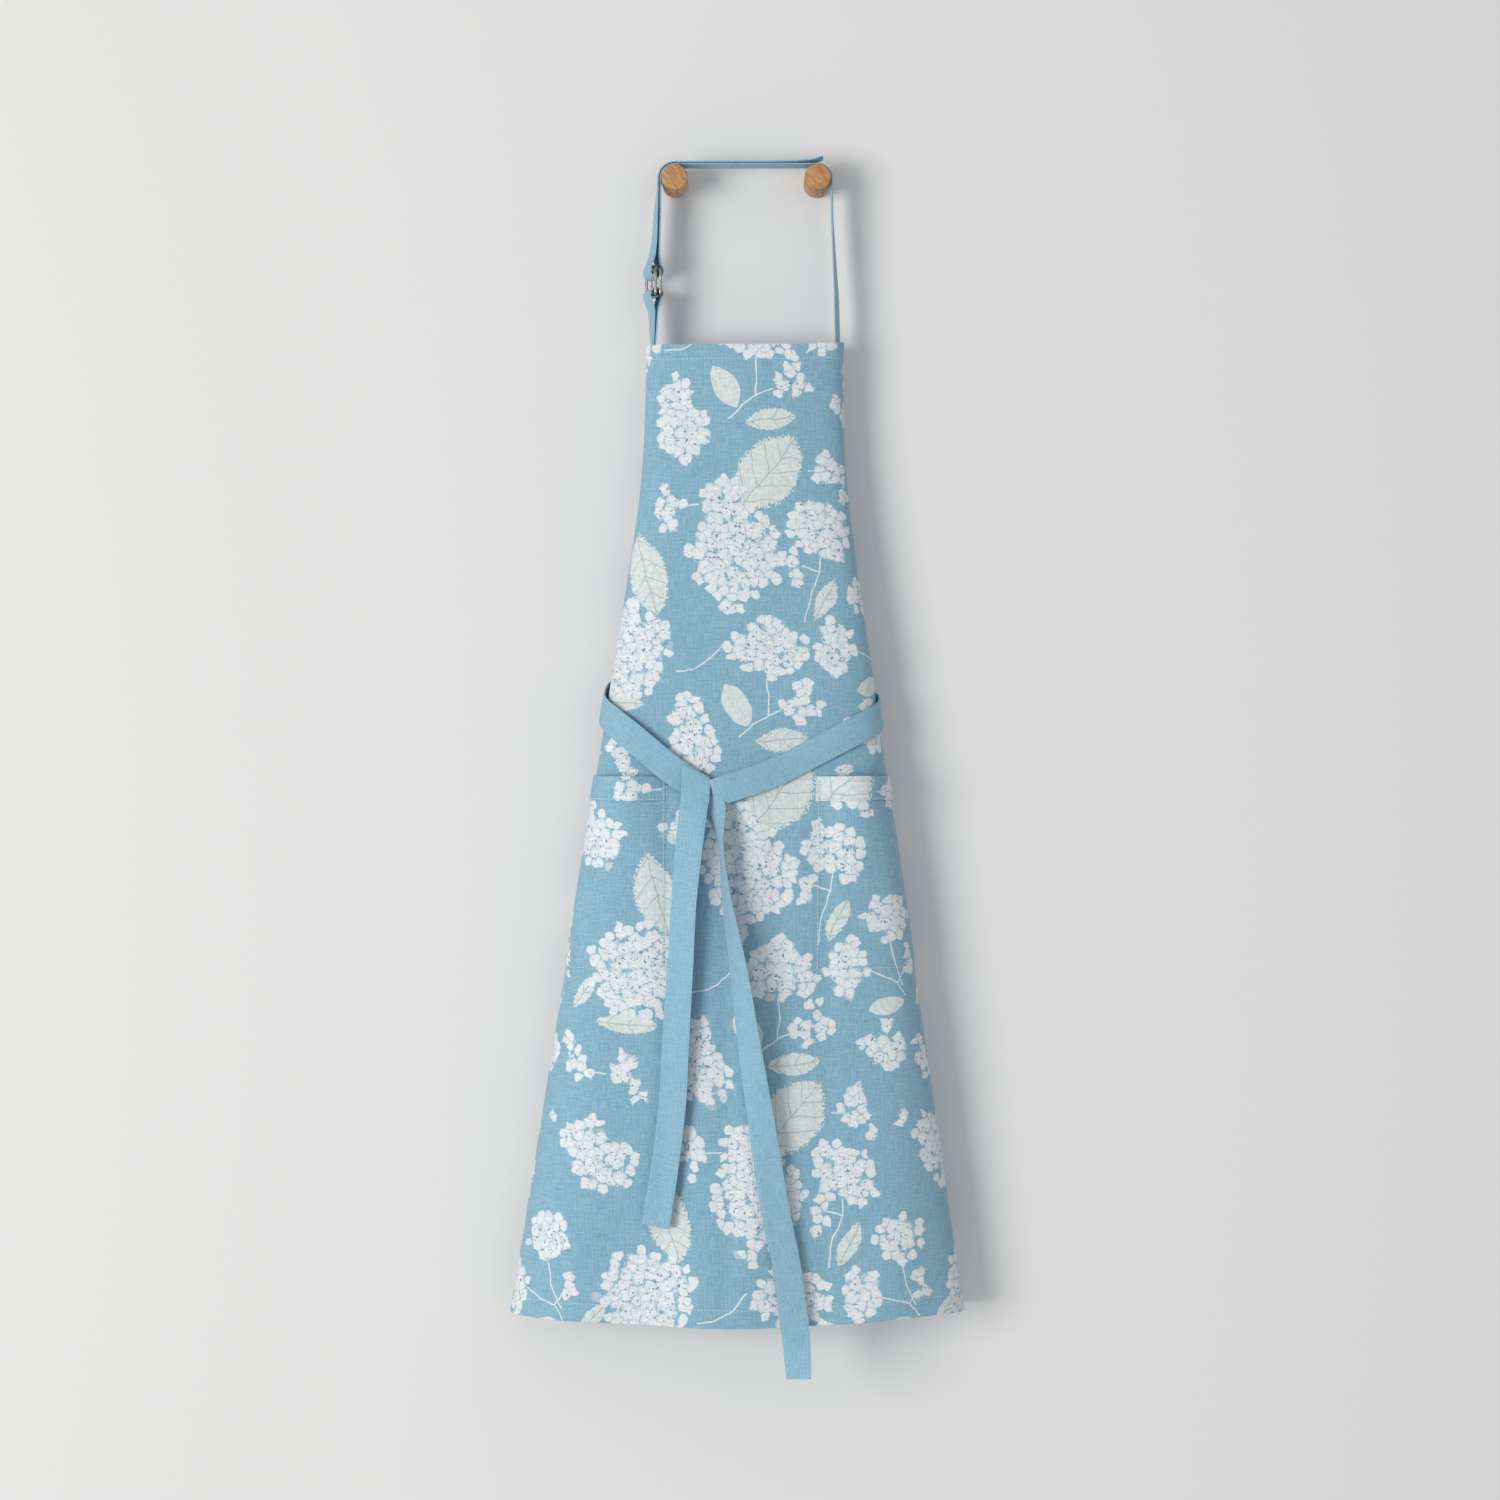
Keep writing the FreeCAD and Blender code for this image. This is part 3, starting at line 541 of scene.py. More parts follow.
def flower_print(tree, cloth, ground):
    """The ground colour with the print over it."""
    point = print_point(tree, cloth)
    ragged = bent(tree, point, 0.17, 1.0, PETAL_BEND)
    grain = add(tree, "TexNoise", {"Vector": point, "Scale": 0.22, "Detail": 3.0})
    tooth = add(tree, "TexNoise", {"Vector": point, "Scale": 0.5, "Detail": 0.0})
    tooth = ramp(tree, tooth, 0.3, 0.7, -1.0, 1.0)

    petals = {"Vector": ragged, "Scale": 1 / PETAL, "Randomness": 0.92}
    near = add(tree, "TexVoronoi", petals, voronoi_dimensions="2D")
    tint = add(tree, "TexVoronoi", petals, pick=1, voronoi_dimensions="2D")
    centre = add(tree, "TexVoronoi", petals, pick=2, voronoi_dimensions="2D")
    edge = add(tree, "TexVoronoi", petals, voronoi_dimensions="2D", feature="DISTANCE_TO_EDGE")
    centre = add(tree, "VectorMath", {0: centre, 1: (1, 1, 0)}, operation="MULTIPLY")
    head = nearest_head(tree, centre)
    chosen = ramp(tree, head, 0.995, 1.005, 1.0, 0.0)
    disc = ramp(tree, near, 0.52, 0.58, 1.0, 0.0)
    heart = ramp(tree, head, 0.70, 0.86, 1.0, 0.0)
    filled = add(tree, "Math", {0: disc, 1: heart}, operation="MAXIMUM")
    petal = share_of(tree, filled, chosen)

    gap = ramp(tree, edge, 0.0, 0.10, 1.0, 0.0)
    gap = share_of(tree, gap, ramp(tree, grain, 0.42, 0.60, 0.12, 1.0))
    paper = blend_colours(tree, share_of(tree, tint, 0.55), linear("#EDF3F6"), linear("#DFEAEE"))
    paper = blend_colours(tree, ramp(tree, grain, 0.35, 0.75, 0.0, 0.5), paper, linear("#DEDCE7"))
    cupped = share_of(tree, ramp(tree, near, 0.15, 0.62), ramp(tree, tint, 0.0, 1.0, 0.1, 0.7))
    paper = blend_colours(tree, cupped, paper, linear("#CFDEE4"))
    white = blend_colours(tree, share_of(tree, gap, 0.62), paper, linear("#7FA3B9"))
    bare = share_of(tree, ramp(tree, near, 0.60, 0.68), ramp(tree, grain, 0.40, 0.56))
    white = blend_colours(tree, share_of(tree, bare, 0.85), white, ground)
    spot = add(tree, "TexNoise", {"Vector": point, "Scale": 0.30, "Detail": 1.0})
    spot = share_of(tree, ramp(tree, spot, 0.63, 0.67), ramp(tree, head, 0.55, 0.8, 1.0, 0.0))
    white = blend_colours(tree, share_of(tree, spot, 0.8), white, linear("#3A74A8"))

    stem = ramp(tree, stem_distance(tree, point), 0.45, 0.85, 1.0, 0.0)
    colour = blend_colours(tree, stem, ground, linear("#DDE9EF"))
    depth, vein = leaf_shapes(tree, point, tooth)
    leaf = ramp(tree, depth, -0.15, 0.25)
    green = blend_colours(tree, ramp(tree, grain, 0.3, 0.7), linear("#E3EBEA"), linear("#D0DDDC"))
    green = blend_colours(tree, share_of(tree, vein, 0.6), green, linear("#8CA3A4"))
    colour = blend_colours(tree, leaf, colour, green)
    return blend_colours(tree, petal, colour, white)


print("a petal is about", PETAL, "mm wide")

# %% [markdown]
# ## Printed linen
# The print lies on the same weave as the plain linen, and the slubs show through its ink. Ink
# soaks only part of the way, so the reverse is the same print, washed out towards the ground.

# %% Printed linen
def printed_linen(name, strength):
    """Linen with the flower print; strength 1 is the face, less is what shows on the reverse."""
    material, tree, shader = new_material(name)
    cloth = add(tree, "UVMap", {}, uv_map="cloth")
    height, slub = linen_weave(tree, cloth)
    tone = ramp(tree, slub, 0.36, 0.64)
    ground = blend_colours(tree, tone, linear("#7EAEC6"), linear("#91BCD1"))
    colour = flower_print(tree, cloth, ground)
    thread = blend_colours(tree, tone, linear("#F3F5F6"), linear("#FFFFFF"))
    colour = blend_colours(tree, 1.0, colour, thread, "MULTIPLY")
    if strength < 1:
        colour = blend_colours(tree, strength, linear("#9CBFD0"), colour)
    linen_finish(tree, shader, colour, height, slub, 0.2)
    print(name, "has", len(tree.nodes), "nodes")
    return material


flower_linen = printed_linen("printed_linen_face", 1.0)
flower_linen_reverse = printed_linen("printed_linen_reverse", 0.35)

# %% [markdown]
# ## The apron's panel
# One piece of printed linen makes the bib and the skirt. Its armhole edges curve out to the
# waist and hang behind. Its hem is turned twice, so the cloth is three layers thick there: the
# grid's offsets make that ledge, with a small dip where the stitching pulls it in.

# %% Panel
HEM_DEPTH, BIB_HEM_DEPTH, HEM_LEDGE = 18.0, 14.0, 0.35
ARM_SEAM_IN = 9.0
PATTERN_STEP = 4.0


def seam_dip(distance, width=1.6):
    return np.exp(-(distance / width) ** 2)


a, d = flat_grid(lambda v: -half_width(v), half_width, 0.0, APRON_LENGTH, PATTERN_STEP)
place, way = hang(a, d)
to_edge = half_width(d) - np.abs(a)
hem = ((d > APRON_LENGTH - HEM_DEPTH) | (d < BIB_HEM_DEPTH)) * HEM_LEDGE
dips = 0.5 * seam_dip(d - (APRON_LENGTH - HEM_DEPTH + 2)) + 0.5 * seam_dip(d - BIB_HEM_DEPTH + 1)
dips = dips + 0.4 * seam_dip(to_edge - ARM_SEAM_IN)
panel = cloth_piece("apron_panel_cloth", place, way, CLOTH + hem - dips, 0.0 + 0.4 * dips,
                    np.stack([a, d], -1), [flower_linen, flower_linen_reverse], "apron")
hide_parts("apron_panel")

# %% [markdown]
# ## Facing and armhole tapes
# Behind the bib's top edge a strip of cloth faces the hem, and a narrow cotton tape binds each
# armhole from the bib to the waist. They lie on the reverse, so they follow the same grid.

# %% Facing and tapes
FACING_DEPTH, TAPE_WIDTH = 16.0, 10.0


def behind_patch(name, left, right, top, bottom, material, node):
    across, down = flat_grid(left, right, top, bottom, 3.0)
    points, ways = hang(across, down)
    piece = cloth_piece(name, points, ways, -LAYER_GAP, -LAYER_GAP - CLOTH, np.stack([across, down], -1),
                        [material], "apron")
    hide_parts(node)
    return piece


facing = behind_patch("bib_facing_strip", lambda v: -half_width(v) + TAPE_WIDTH + 1,
                      lambda v: half_width(v) - TAPE_WIDTH - 1, 0.0, FACING_DEPTH,
                      flower_linen_reverse, "bib_facing")
left_tape = behind_patch("left_armhole_tape", lambda v: -half_width(v), lambda v: TAPE_WIDTH - half_width(v),
                         0.0, WAIST_DOWN, tape_cotton, "left_armhole_binding")
right_tape = behind_patch("right_armhole_tape", lambda v: half_width(v) - TAPE_WIDTH, half_width,
                          0.0, WAIST_DOWN, tape_cotton, "right_armhole_binding")

# %% [markdown]
# ## Patch pockets
# A pocket is sewn on at the waist on each side. Its cloth was cut to match the print below it,
# so its UV map is the panel's own. The mouth has a deep hem of unmatched cloth, drawn as a band
# with a shifted map, and it stands open a little where the cloth bows out between its ends. The
# turned edges are pressed thin, so the sides and the foot of the pocket hardly show.

# %% Pockets
POCKET_WIDTH, POCKET_HEIGHT, POCKET_DOWN, POCKET_INNER_EDGE = 165.0, 175.0, 389.0, 67.0
POCKET_BAND, POCKET_GAPE, POCKET_OPEN_SHARE = 22.0, 12.0, 0.45
MATCHED = np.array([0.0, 0.0])
BAND_SHIFT = {"left": np.array([30.0, -256.0]), "right": np.array([-48.0, -2.0])}
PRESSED_WIDTH, PRESSED_SHARE = 12.0, 0.12
POCKET_SEAM_IN = 2.5
FAR_AWAY = 99.0


def pocket_gape(across, down):
    u = np.clip((np.abs(across) - POCKET_INNER_EDGE) / (POCKET_WIDTH * POCKET_OPEN_SHARE), 0, 1)
    v = (down - POCKET_DOWN) / POCKET_HEIGHT
    return POCKET_GAPE * np.sin(math.pi * u) ** 2 * np.maximum(1 - v, 0) ** 2.4


def pocket_part(name, side, height, layer, shift, node):
    near, far = sorted((side * POCKET_INNER_EDGE, side * (POCKET_INNER_EDGE + POCKET_WIDTH)))
    across, down = flat_grid(lambda v: near + 0 * v, lambda v: far + 0 * v, POCKET_DOWN,
                             POCKET_DOWN + height, 2.5)
    points, ways = hang(across, down)
    foot = POCKET_DOWN + height - down if layer == 0 else FAR_AWAY
    edge = np.minimum(np.minimum(across - near, far - across), foot)
    pressed = PRESSED_SHARE + (1 - PRESSED_SHARE) * np.clip(edge / PRESSED_WIDTH, 0, 1)
    off = CLOTH + LAYER_GAP * pressed + layer * pressed + pocket_gape(across, down)
    dip = 0.2 * seam_dip(edge - POCKET_SEAM_IN)
    flat = np.stack([across, down], -1) + shift
    piece = cloth_piece(name, points, ways, off + CLOTH * pressed - dip, off, flat,
                        [flower_linen, flower_linen_reverse], "apron")
    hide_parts(node)
    return piece


# %% Both pockets
SIDES = {"left": -1, "right": 1}
for side_name, side in SIDES.items():
    bag = pocket_part(f"{side_name}_pocket_bag", side, POCKET_HEIGHT, 0.0, MATCHED, f"{side_name}_pocket")
    band = pocket_part(f"{side_name}_pocket_hem", side, POCKET_BAND, CLOTH + LAYER_GAP, BAND_SHIFT[side_name],
                       f"{side_name}_pocket_band")

# %% [markdown]
# ## Straps and ties
# A strap is a grid too: a line of stations with a few points across its width. Its edges are
# thinner than its middle, because the folded edge of a strap rolls under.

# %% Strap builder
STRAP_WIDTH, STRAP_THICK = 24.0, 1.5
TIE_WIDTH, TIE_THICK = 25.0, 1.4
COLUMNS = 11
ACROSS_STRAP = np.linspace(-0.5, 0.5, COLUMNS)


def soft_line(rows, count):
    """A smooth line through given rows of numbers, evenly spaced along its length."""
    rows = np.asarray(rows, float)
    spans = len(rows) - 1
    t = np.linspace(0, spans, spans * 24 + 1)
    k = np.minimum(t.astype(int), spans - 1)
    u = (t - k)[:, None]
    p0, p1, p2, p3 = (rows[np.clip(k + j, 0, spans)] for j in (-1, 0, 1, 2))
    fine = 0.5 * (2 * p1 + (p2 - p0) * u + (2 * p0 - 5 * p1 + 4 * p2 - p3) * u ** 2
                  + (3 * p1 - p0 - 3 * p2 + p3) * u ** 3)
    run = np.concatenate([[0], np.cumsum(np.linalg.norm(np.diff(fine[:, :3], axis=0), axis=1))])
    even = np.linspace(0, run[-1], count)
    return np.stack([np.interp(even, run, fine[:, i]) for i in range(fine.shape[1])], -1)


def unit(vectors):
    return vectors / np.maximum(np.linalg.norm(vectors, axis=-1, keepdims=True), 1e-9)


print("a straight line of three rows keeps its length:",
      round(float(soft_line([(0, 0, 0), (5, 0, 0), (10, 0, 0)], 5)[-1, 0]), 1), "mm")

# %% A strap's cloth
ROLLED_SHARE = 0.55


def strap_piece(name, place, way, width, thick, material, body):
    """A strap over stations of points, with thinner rolled edges. It returns its length too."""
    edge = 1 - ROLLED_SHARE * (np.abs(ACROSS_STRAP) * 2) ** 10
    half = np.broadcast_to(thick / 2 * edge, place.shape[:2])
    middle = place[:, COLUMNS // 2]
    run = np.concatenate([[0], np.cumsum(np.linalg.norm(np.diff(middle, axis=0), axis=1))])
    flat = np.stack(np.broadcast_arrays(ACROSS_STRAP[None, :] * width, run[:, None]), -1)
    piece = cloth_piece(name, place, way, half, -half, flat, [material], body)
    return piece, float(run[-1])


def laid_strap(rows, width, count):
    """Stations of a tie on the hung cloth; rows are (across, down, standoff, twist in degrees)."""
    line = soft_line(rows, count)
    travel = unit(np.gradient(line[:, :2], axis=0))
    turn = np.radians(line[:, 3])
    off = ACROSS_STRAP[None, :] * width
    across = line[:, 0, None] + travel[:, 1, None] * off * np.cos(turn)[:, None]
    down = line[:, 1, None] - travel[:, 0, None] * off * np.cos(turn)[:, None]
    place, out = hang(across, down, line[:, 2, None] + off * np.sin(turn)[:, None])
    along = unit(np.gradient(place, axis=0))
    over = unit(np.gradient(place, axis=1))
    way = unit(np.cross(along, over))
    way *= np.sign(np.sum(way * out, axis=-1, keepdims=True) + 1e-6)
    return place, way


print("straps are", COLUMNS, "points wide")

# %% [markdown]
# ## The waist ties and their half knot
# Each tie is sewn to a back edge, comes round its own side and crosses the front. At the knot the right tie
# passes in front of the left one, turns behind it and comes over its top edge to hang down in front. The left
# tie goes on behind and hangs turned on edge, so it shows its narrow side at first and opens flat lower down.

# %% Left waist tie
LEFT_TIE = [
    (-306, 276, 3, 0), (-250, 281, 3, 0), (-190, 300, 3, 0), (-150, 315, 4, 0), (-127, 330, 6, 0),
    (-104, 348, 8.0, 0), (-83, 366, 8.2, 0), (-65, 381, 7.6, 0), (-50, 391, 6.4, 0), (-38, 399, 5.4, 3),
    (-30, 408, 5.0, 10), (-24.5, 418, 5.8, 26), (-20.5, 430, 10.0, 60), (-17.5, 452, 15, 80),
    (-13, 492, 16.5, 72), (-6, 532, 16.5, 60), (0, 566, 16, 50), (9, 627, 14, 36), (21, 700, 11, 20),
    (33, 771, 8.5, 8), (43, 819, 7, 3), (52, 880, 7, 10), (55, 921, 7, 36),
]
left_place, left_way = laid_strap(LEFT_TIE, TIE_WIDTH, 300)
left_tie, left_tie_length = strap_piece("left_waist_tie_cloth", left_place, left_way, TIE_WIDTH, TIE_THICK,
                                        tie_linen, None)
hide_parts("left_waist_tie", "left_tie_tail")
print("left tie", round(left_tie_length), "mm")

# %% [markdown]
# ## The right tie's band
# The right tie crosses the front and ends in the fold where it turns behind the left one. That
# fold is a half circle of stations, because a flat strap bends sharply and only along its
# length. The strap's outward direction is worked out again after the fold is joined on.

# %% Right waist tie, up to the knot
RIGHT_TIE = [
    (306, 276, 3, 0), (250, 284, 3, 0), (190, 306, 3, 0), (160, 320, 3.4, 0), (135, 332, 4.5, 0),
    (108, 345, 4.5, 0), (66, 367, 4.2, 0), (34, 383, 5.0, 0), (6, 393.5, 7.6, 0), (-14, 400, 9.2, -4),
    (-23, 403, 9.0, -6),
]
FOLD_RADIUS = 2.6
right_place, right_way = laid_strap(RIGHT_TIE, TIE_WIDTH, 170)
end_place, end_out = right_place[-1], right_way[-1]
heading = unit(right_place[-1] - right_place[-2])
fold_rows = []
for angle in np.linspace(0, math.pi, 9)[1:]:
    fold_rows.append(end_place + heading * FOLD_RADIUS * math.sin(angle)
                     - end_out * FOLD_RADIUS * (1 - math.cos(angle)))
for back in (4.0, 9.0, 14.0):
    fold_rows.append(fold_rows[7] - heading * back)
right_place = np.concatenate([right_place, np.array(fold_rows)])
along, over = unit(np.gradient(right_place, axis=0)), unit(np.gradient(right_place, axis=1))
right_way = unit(np.cross(along, over))
right_way *= np.sign(np.sum(right_way[10] * hang(250, 284)[1]))
right_band, right_band_length = strap_piece("right_waist_tie_band", right_place, right_way, TIE_WIDTH,
                                            TIE_THICK, tie_linen, "apron")
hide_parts("right_waist_tie")
print("right tie up to the knot", round(right_band_length), "mm")

# %% [markdown]
# ## The right tie's hanging end
# The same tie comes up behind the left one, over its top edge and down in front. It leans with
# the slope of the band that it climbs over, and then follows the cloth like the left tie.

# %% Right waist tie, from the knot
RIGHT_TURN = [
    (-38, 418, 2.6), (-39, 404, 2.4), (-39.5, 392, 2.8), (-40, 385.5, 4.2), (-40, 383.4, 6.4),
    (-40, 385.2, 8.8), (-40.4, 392, 10.2), (-41, 406, 10.4),
]
RIGHT_TAIL = [
    (-41.6, 412, 10.6, 4), (-44, 432, 11, 8), (-49.5, 492, 13, 22), (-52.5, 552, 13, 20),
    (-56, 618, 12, 12), (-59, 680, 10, 8), (-66, 740, 9, 6), (-73, 788, 9, 6),
]
BAND_SLOPE = 0.56
turn_line = soft_line(RIGHT_TURN, 60)
tie_off = ACROSS_STRAP[None, :] * TIE_WIDTH
lean_over = BAND_SLOPE * np.clip((turn_line[:, 2, None] - 10.2) / -4.0 + 1, 0.5, 1)
turn_place = hang(turn_line[:, 0, None] + tie_off, turn_line[:, 1, None] + tie_off * lean_over,
                  turn_line[:, 2, None])[0]
tail_place = laid_strap(RIGHT_TAIL, TIE_WIDTH, 150)[0]
down_place = np.concatenate([turn_place, tail_place])
along, over = unit(np.gradient(down_place, axis=0)), unit(np.gradient(down_place, axis=1))
down_way = unit(np.cross(over, along))
right_tail, right_tail_length = strap_piece("right_waist_tie_tail", down_place, down_way, TIE_WIDTH,
                                            TIE_THICK, tie_linen, None)
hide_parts("right_tie_tail")
print("right tie from the knot", round(right_tail_length), "mm")

# %% [markdown]
# ## The neck strap and the ring tab
# The strap is sewn inside the bib's right corner. It goes up and over both pegs, down to the
# two rings, round through them, and back over the pegs to its free end. Its flat sides face
# left and right, so from the front only its edge shows. Below the left peg it turns a little
# towards the rings. A short loop of the same strap holds the rings on the bib's left corner.
# A solid sweep would give it no cloth map, so it is a grid like the ties.

# %% Strap and ring sizes, in millimetres
PEG_SPACING, PEG_RADIUS = 130.0, 12.0
STRAP_FROM_WALL, STRAP_TWIST = 28.0, 18.0
RING_X, RING_BAR_DROP, RING_HEIGHT, RING_WIRE, RING_GAP = -84.5, 106.0, 26.0, 2.8, 1.8
RING_EASE, FOLD_BELOW_RING = 2.0, 4.0
RIGHT_RUN_X = 83.3
SEAM_ACROSS, SEAM_DEPTH = 98.6, 32.0
SEWN_BEHIND = -2.3
print("the rings are", RING_HEIGHT, "mm high")

# %% Lines for a strap seen edge on
def arc(x, z, radius, start, end, twist=0.0):
    steps = np.radians(np.linspace(start, end, 9))
    return [(x + radius * math.cos(t), z + radius * math.sin(t), 0.0, twist) for t in steps]


def even_line(rows, step=1.6, soften=1.8):
    """A line through rows at an even step, its corners rounded a little."""
    rows = np.asarray(rows, float)
    run = np.concatenate([[0], np.cumsum(np.linalg.norm(np.diff(rows[:, :3], axis=0), axis=1))])
    even = np.linspace(0, run[-1], int(run[-1] / step) + 1)
    line = np.stack([np.interp(even, run, rows[:, i]) for i in range(rows.shape[1])], -1)
    reach = int(math.ceil(3 * soften / step))
    kernel = np.exp(-(np.arange(-reach, reach + 1) * step / soften) ** 2 / 2)
    kernel /= kernel.sum()
    longer = np.concatenate([2 * line[0] - line[reach:0:-1], line, 2 * line[-1] - line[-2:-reach - 2:-1]])
    return np.stack([np.convolve(longer[:, i], kernel, "valid") for i in range(line.shape[1])], -1)


def edge_on(rows):
    """Stations of a strap seen edge on; rows are (x, z, y shift, twist in degrees)."""
    line = even_line(rows)
    turn = np.radians(line[:, 3])
    side = np.stack([np.cos(turn), np.sin(turn), 0 * turn], -1)
    wide = np.stack([-np.sin(turn), np.cos(turn), 0 * turn], -1)
    pivot = np.where(line[:, :1] < 0, RING_X, RIGHT_RUN_X)
    middle = side * (line[:, :1] - pivot)
    middle[:, :1] += pivot
    middle[:, 1] += line[:, 2] - STRAP_FROM_WALL
    middle[:, 2] = line[:, 1]
    return middle[:, None] + wide[:, None] * ACROSS_STRAP[None, :, None] * STRAP_WIDTH


def sewn_rows(side, downs):
    """Stations of a strap's end where it is sewn to the back of the bib."""
    off = ACROSS_STRAP[None, :] * STRAP_WIDTH
    return hang(side * (SEAM_ACROSS + off), np.asarray(downs, float)[:, None], SEWN_BEHIND)[0]


def way_of(place, guide):
    """The outward direction of a strap, turned to agree with a guide direction at its start."""
    along, over = unit(np.gradient(place, axis=0)), unit(np.gradient(place, axis=1))
    way = unit(np.cross(along, over))
    return way * np.sign(np.sum(way[2, COLUMNS // 2] * np.asarray(guide, float)))


print("a quarter turn round a peg takes", len(arc(0, 0, PEG_RADIUS, 0, 90)), "stations")

# %% Neck strap
peg_x = PEG_SPACING / 2
low = PEG_RADIUS + LAYER_GAP + STRAP_THICK / 2
high = low + STRAP_THICK + LAYER_GAP
fold = RING_WIRE + RING_GAP / 2 + RING_EASE + STRAP_THICK / 2
fold_z = -RING_BAR_DROP + RING_HEIGHT - FOLD_BELOW_RING
strap_rows = [(RIGHT_RUN_X, -148.0, 0, -11), (82.6, -110.0, 0, -10), (80.4, -70.0, 0, -6), (78.4, -30.0, 0, -2)]
strap_rows += arc(peg_x, 0, low, 0, 90)
strap_rows += [(30.0, low + 0.1, 0, 0), (-30.0, low - 0.1, 0, 0)]
strap_rows += arc(-peg_x, 0, low, 90, 180)
inner_x = -peg_x - low
strap_rows += [(inner_x - 1.4, -30.0, 0, STRAP_TWIST / 2), (inner_x - 2.9, -58.0, 0, STRAP_TWIST * 0.7),
               (inner_x - 3.3, -70.0, 0, STRAP_TWIST * 0.9)]
strap_rows += arc(RING_X, fold_z, fold, 0, -180, STRAP_TWIST)
outer_x = -peg_x - high
strap_rows += [(outer_x - 6.0, -70.0, 0, STRAP_TWIST * 0.9), (outer_x - 3.9, -58.0, 0, STRAP_TWIST * 0.7),
               (outer_x - 2.2, -30.0, 0, STRAP_TWIST / 2)]
strap_rows += arc(-peg_x, 0, high, 180, 90)
strap_rows += [(-20.0, high + 0.2, 0, 0), (20.0, high + 0.3, 0, 0), (peg_x - 18, high + 0.8, 0, 0),
               (peg_x - 4, high + 2.2, 0, 0), (peg_x + 5, high + 5.2, 0, 0)]
strap_place = np.concatenate([sewn_rows(1, np.arange(SEAM_DEPTH, 1.0, -1.6)), edge_on(strap_rows)])
strap_way = way_of(strap_place, (1, 0, 0))
neck_strap, strap_length = strap_piece("neck_strap_cloth", strap_place, strap_way, STRAP_WIDTH,
                                       STRAP_THICK, strap_linen, None)
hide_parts("neck_strap", "neck_strap_sewn_end")
print("neck strap", round(strap_length), "mm")

# %% Ring tab
foot = 0.85
tab_rows = [(RING_X + foot, -152.0, 0, 4), (RING_X + foot + 0.1, -142.0, 0, 10), (RING_X + 1.5, -119.5, 0, 16)]
tab_rows += arc(RING_X, -RING_BAR_DROP, fold, 0, 180, STRAP_TWIST)
tab_rows += [(RING_X - 1.5, -119.5, 0, 16), (RING_X - foot - 0.1, -142.0, 0, 10), (RING_X - foot, -153.0, 0, 4)]
tab_place = np.concatenate([sewn_rows(-1, np.arange(SEAM_DEPTH, 1.0, -1.6))[:, ::-1], edge_on(tab_rows)])
tab_way = way_of(tab_place, (1, 0, 0))
ring_tab, tab_length = strap_piece("ring_tab_cloth", tab_place, tab_way, STRAP_WIDTH, STRAP_THICK,
                                   strap_linen, None)
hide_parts("ring_tab", "ring_tab_sewn_end")
print("ring tab", round(tab_length), "mm")

# %% [markdown]
# ## Pegs, rings and the hidden fixings
# The pegs are turned beech, the rings bent wire plated with nickel. Their CAD shapes are right,
# so they stay and only take materials. The brass inserts, hanger bolts and nylon plugs are
# inside the pegs and the wall, and they get the finish that such hardware has.

# %% Beech
GRAIN_WIDTH, FLECK_LENGTH = 1.1 * MM, 4.0 * MM


def beech_wood():
    """Beech: fine straight grain with short darker flecks, a thin satin oil finish."""
    material, tree, shader = new_material("turned_beech")
    spot = add(tree, "TexCoord", {}, pick=3)
    turned = add(tree, "VectorRotate", {"Vector": spot, "Axis": (0, 1, 0), "Angle": 0.7},
                 rotation_type="AXIS_ANGLE")
    along = add(tree, "VectorMath", {0: turned, 1: (1 / GRAIN_WIDTH, 0.05 / GRAIN_WIDTH, 0.14 / GRAIN_WIDTH)},
                operation="MULTIPLY")
    grain = add(tree, "TexNoise", {"Vector": along, "Scale": 0.55, "Detail": 4.0, "Roughness": 0.65})
    fleck_place = add(tree, "VectorMath", {0: spot, 1: (2 / GRAIN_WIDTH, 1 / FLECK_LENGTH, 2 / GRAIN_WIDTH)},
                      operation="MULTIPLY")
    fleck = ramp(tree, add(tree, "TexNoise", {"Vector": fleck_place, "Scale": 1.0, "Detail": 1.0}), 0.60, 0.70)
    colour = blend_colours(tree, ramp(tree, grain, 0.3, 0.7), linear("#99683B"), linear("#C29565"))
    colour = blend_colours(tree, share_of(tree, fleck, 0.5), colour, linear("#6F4828"))
    rough = ramp(tree, grain, 0.2, 0.8, 0.52, 0.42)
    finish_material(tree, shader, colour, rough, grain, 0.0002)
    return material


beech = beech_wood()
print("beech grain every", GRAIN_WIDTH / MM, "mm")

# %% [markdown]
# ## Metal and nylon
# Nickel plate is bright and slightly warm, with a faint fine bump over it. Zinc plate is duller and bluish,
# brass is yellow, and moulded nylon is a matt grey.

# %% Metal and nylon
def hard_finish(name, light, dark, metallic, smooth_at, scale):
    """A hard material whose colour and roughness drift a little over its surface."""
    material, tree, shader = new_material(name)
    spot = add(tree, "TexCoord", {}, pick=3)
    drift = add(tree, "TexNoise", {"Vector": spot, "Scale": scale, "Detail": 5.0, "Roughness": 0.6})
    fine = add(tree, "TexNoise", {"Vector": spot, "Scale": scale * 9, "Detail": 2.0})
    colour = blend_colours(tree, ramp(tree, drift, 0.3, 0.7), linear(dark), linear(light))
    shader.inputs["Metallic"].default_value = metallic
    rough = ramp(tree, drift, 0.25, 0.75, smooth_at + 0.08, smooth_at)
    finish_material(tree, shader, colour, rough, fine, 0.00003)
    return material


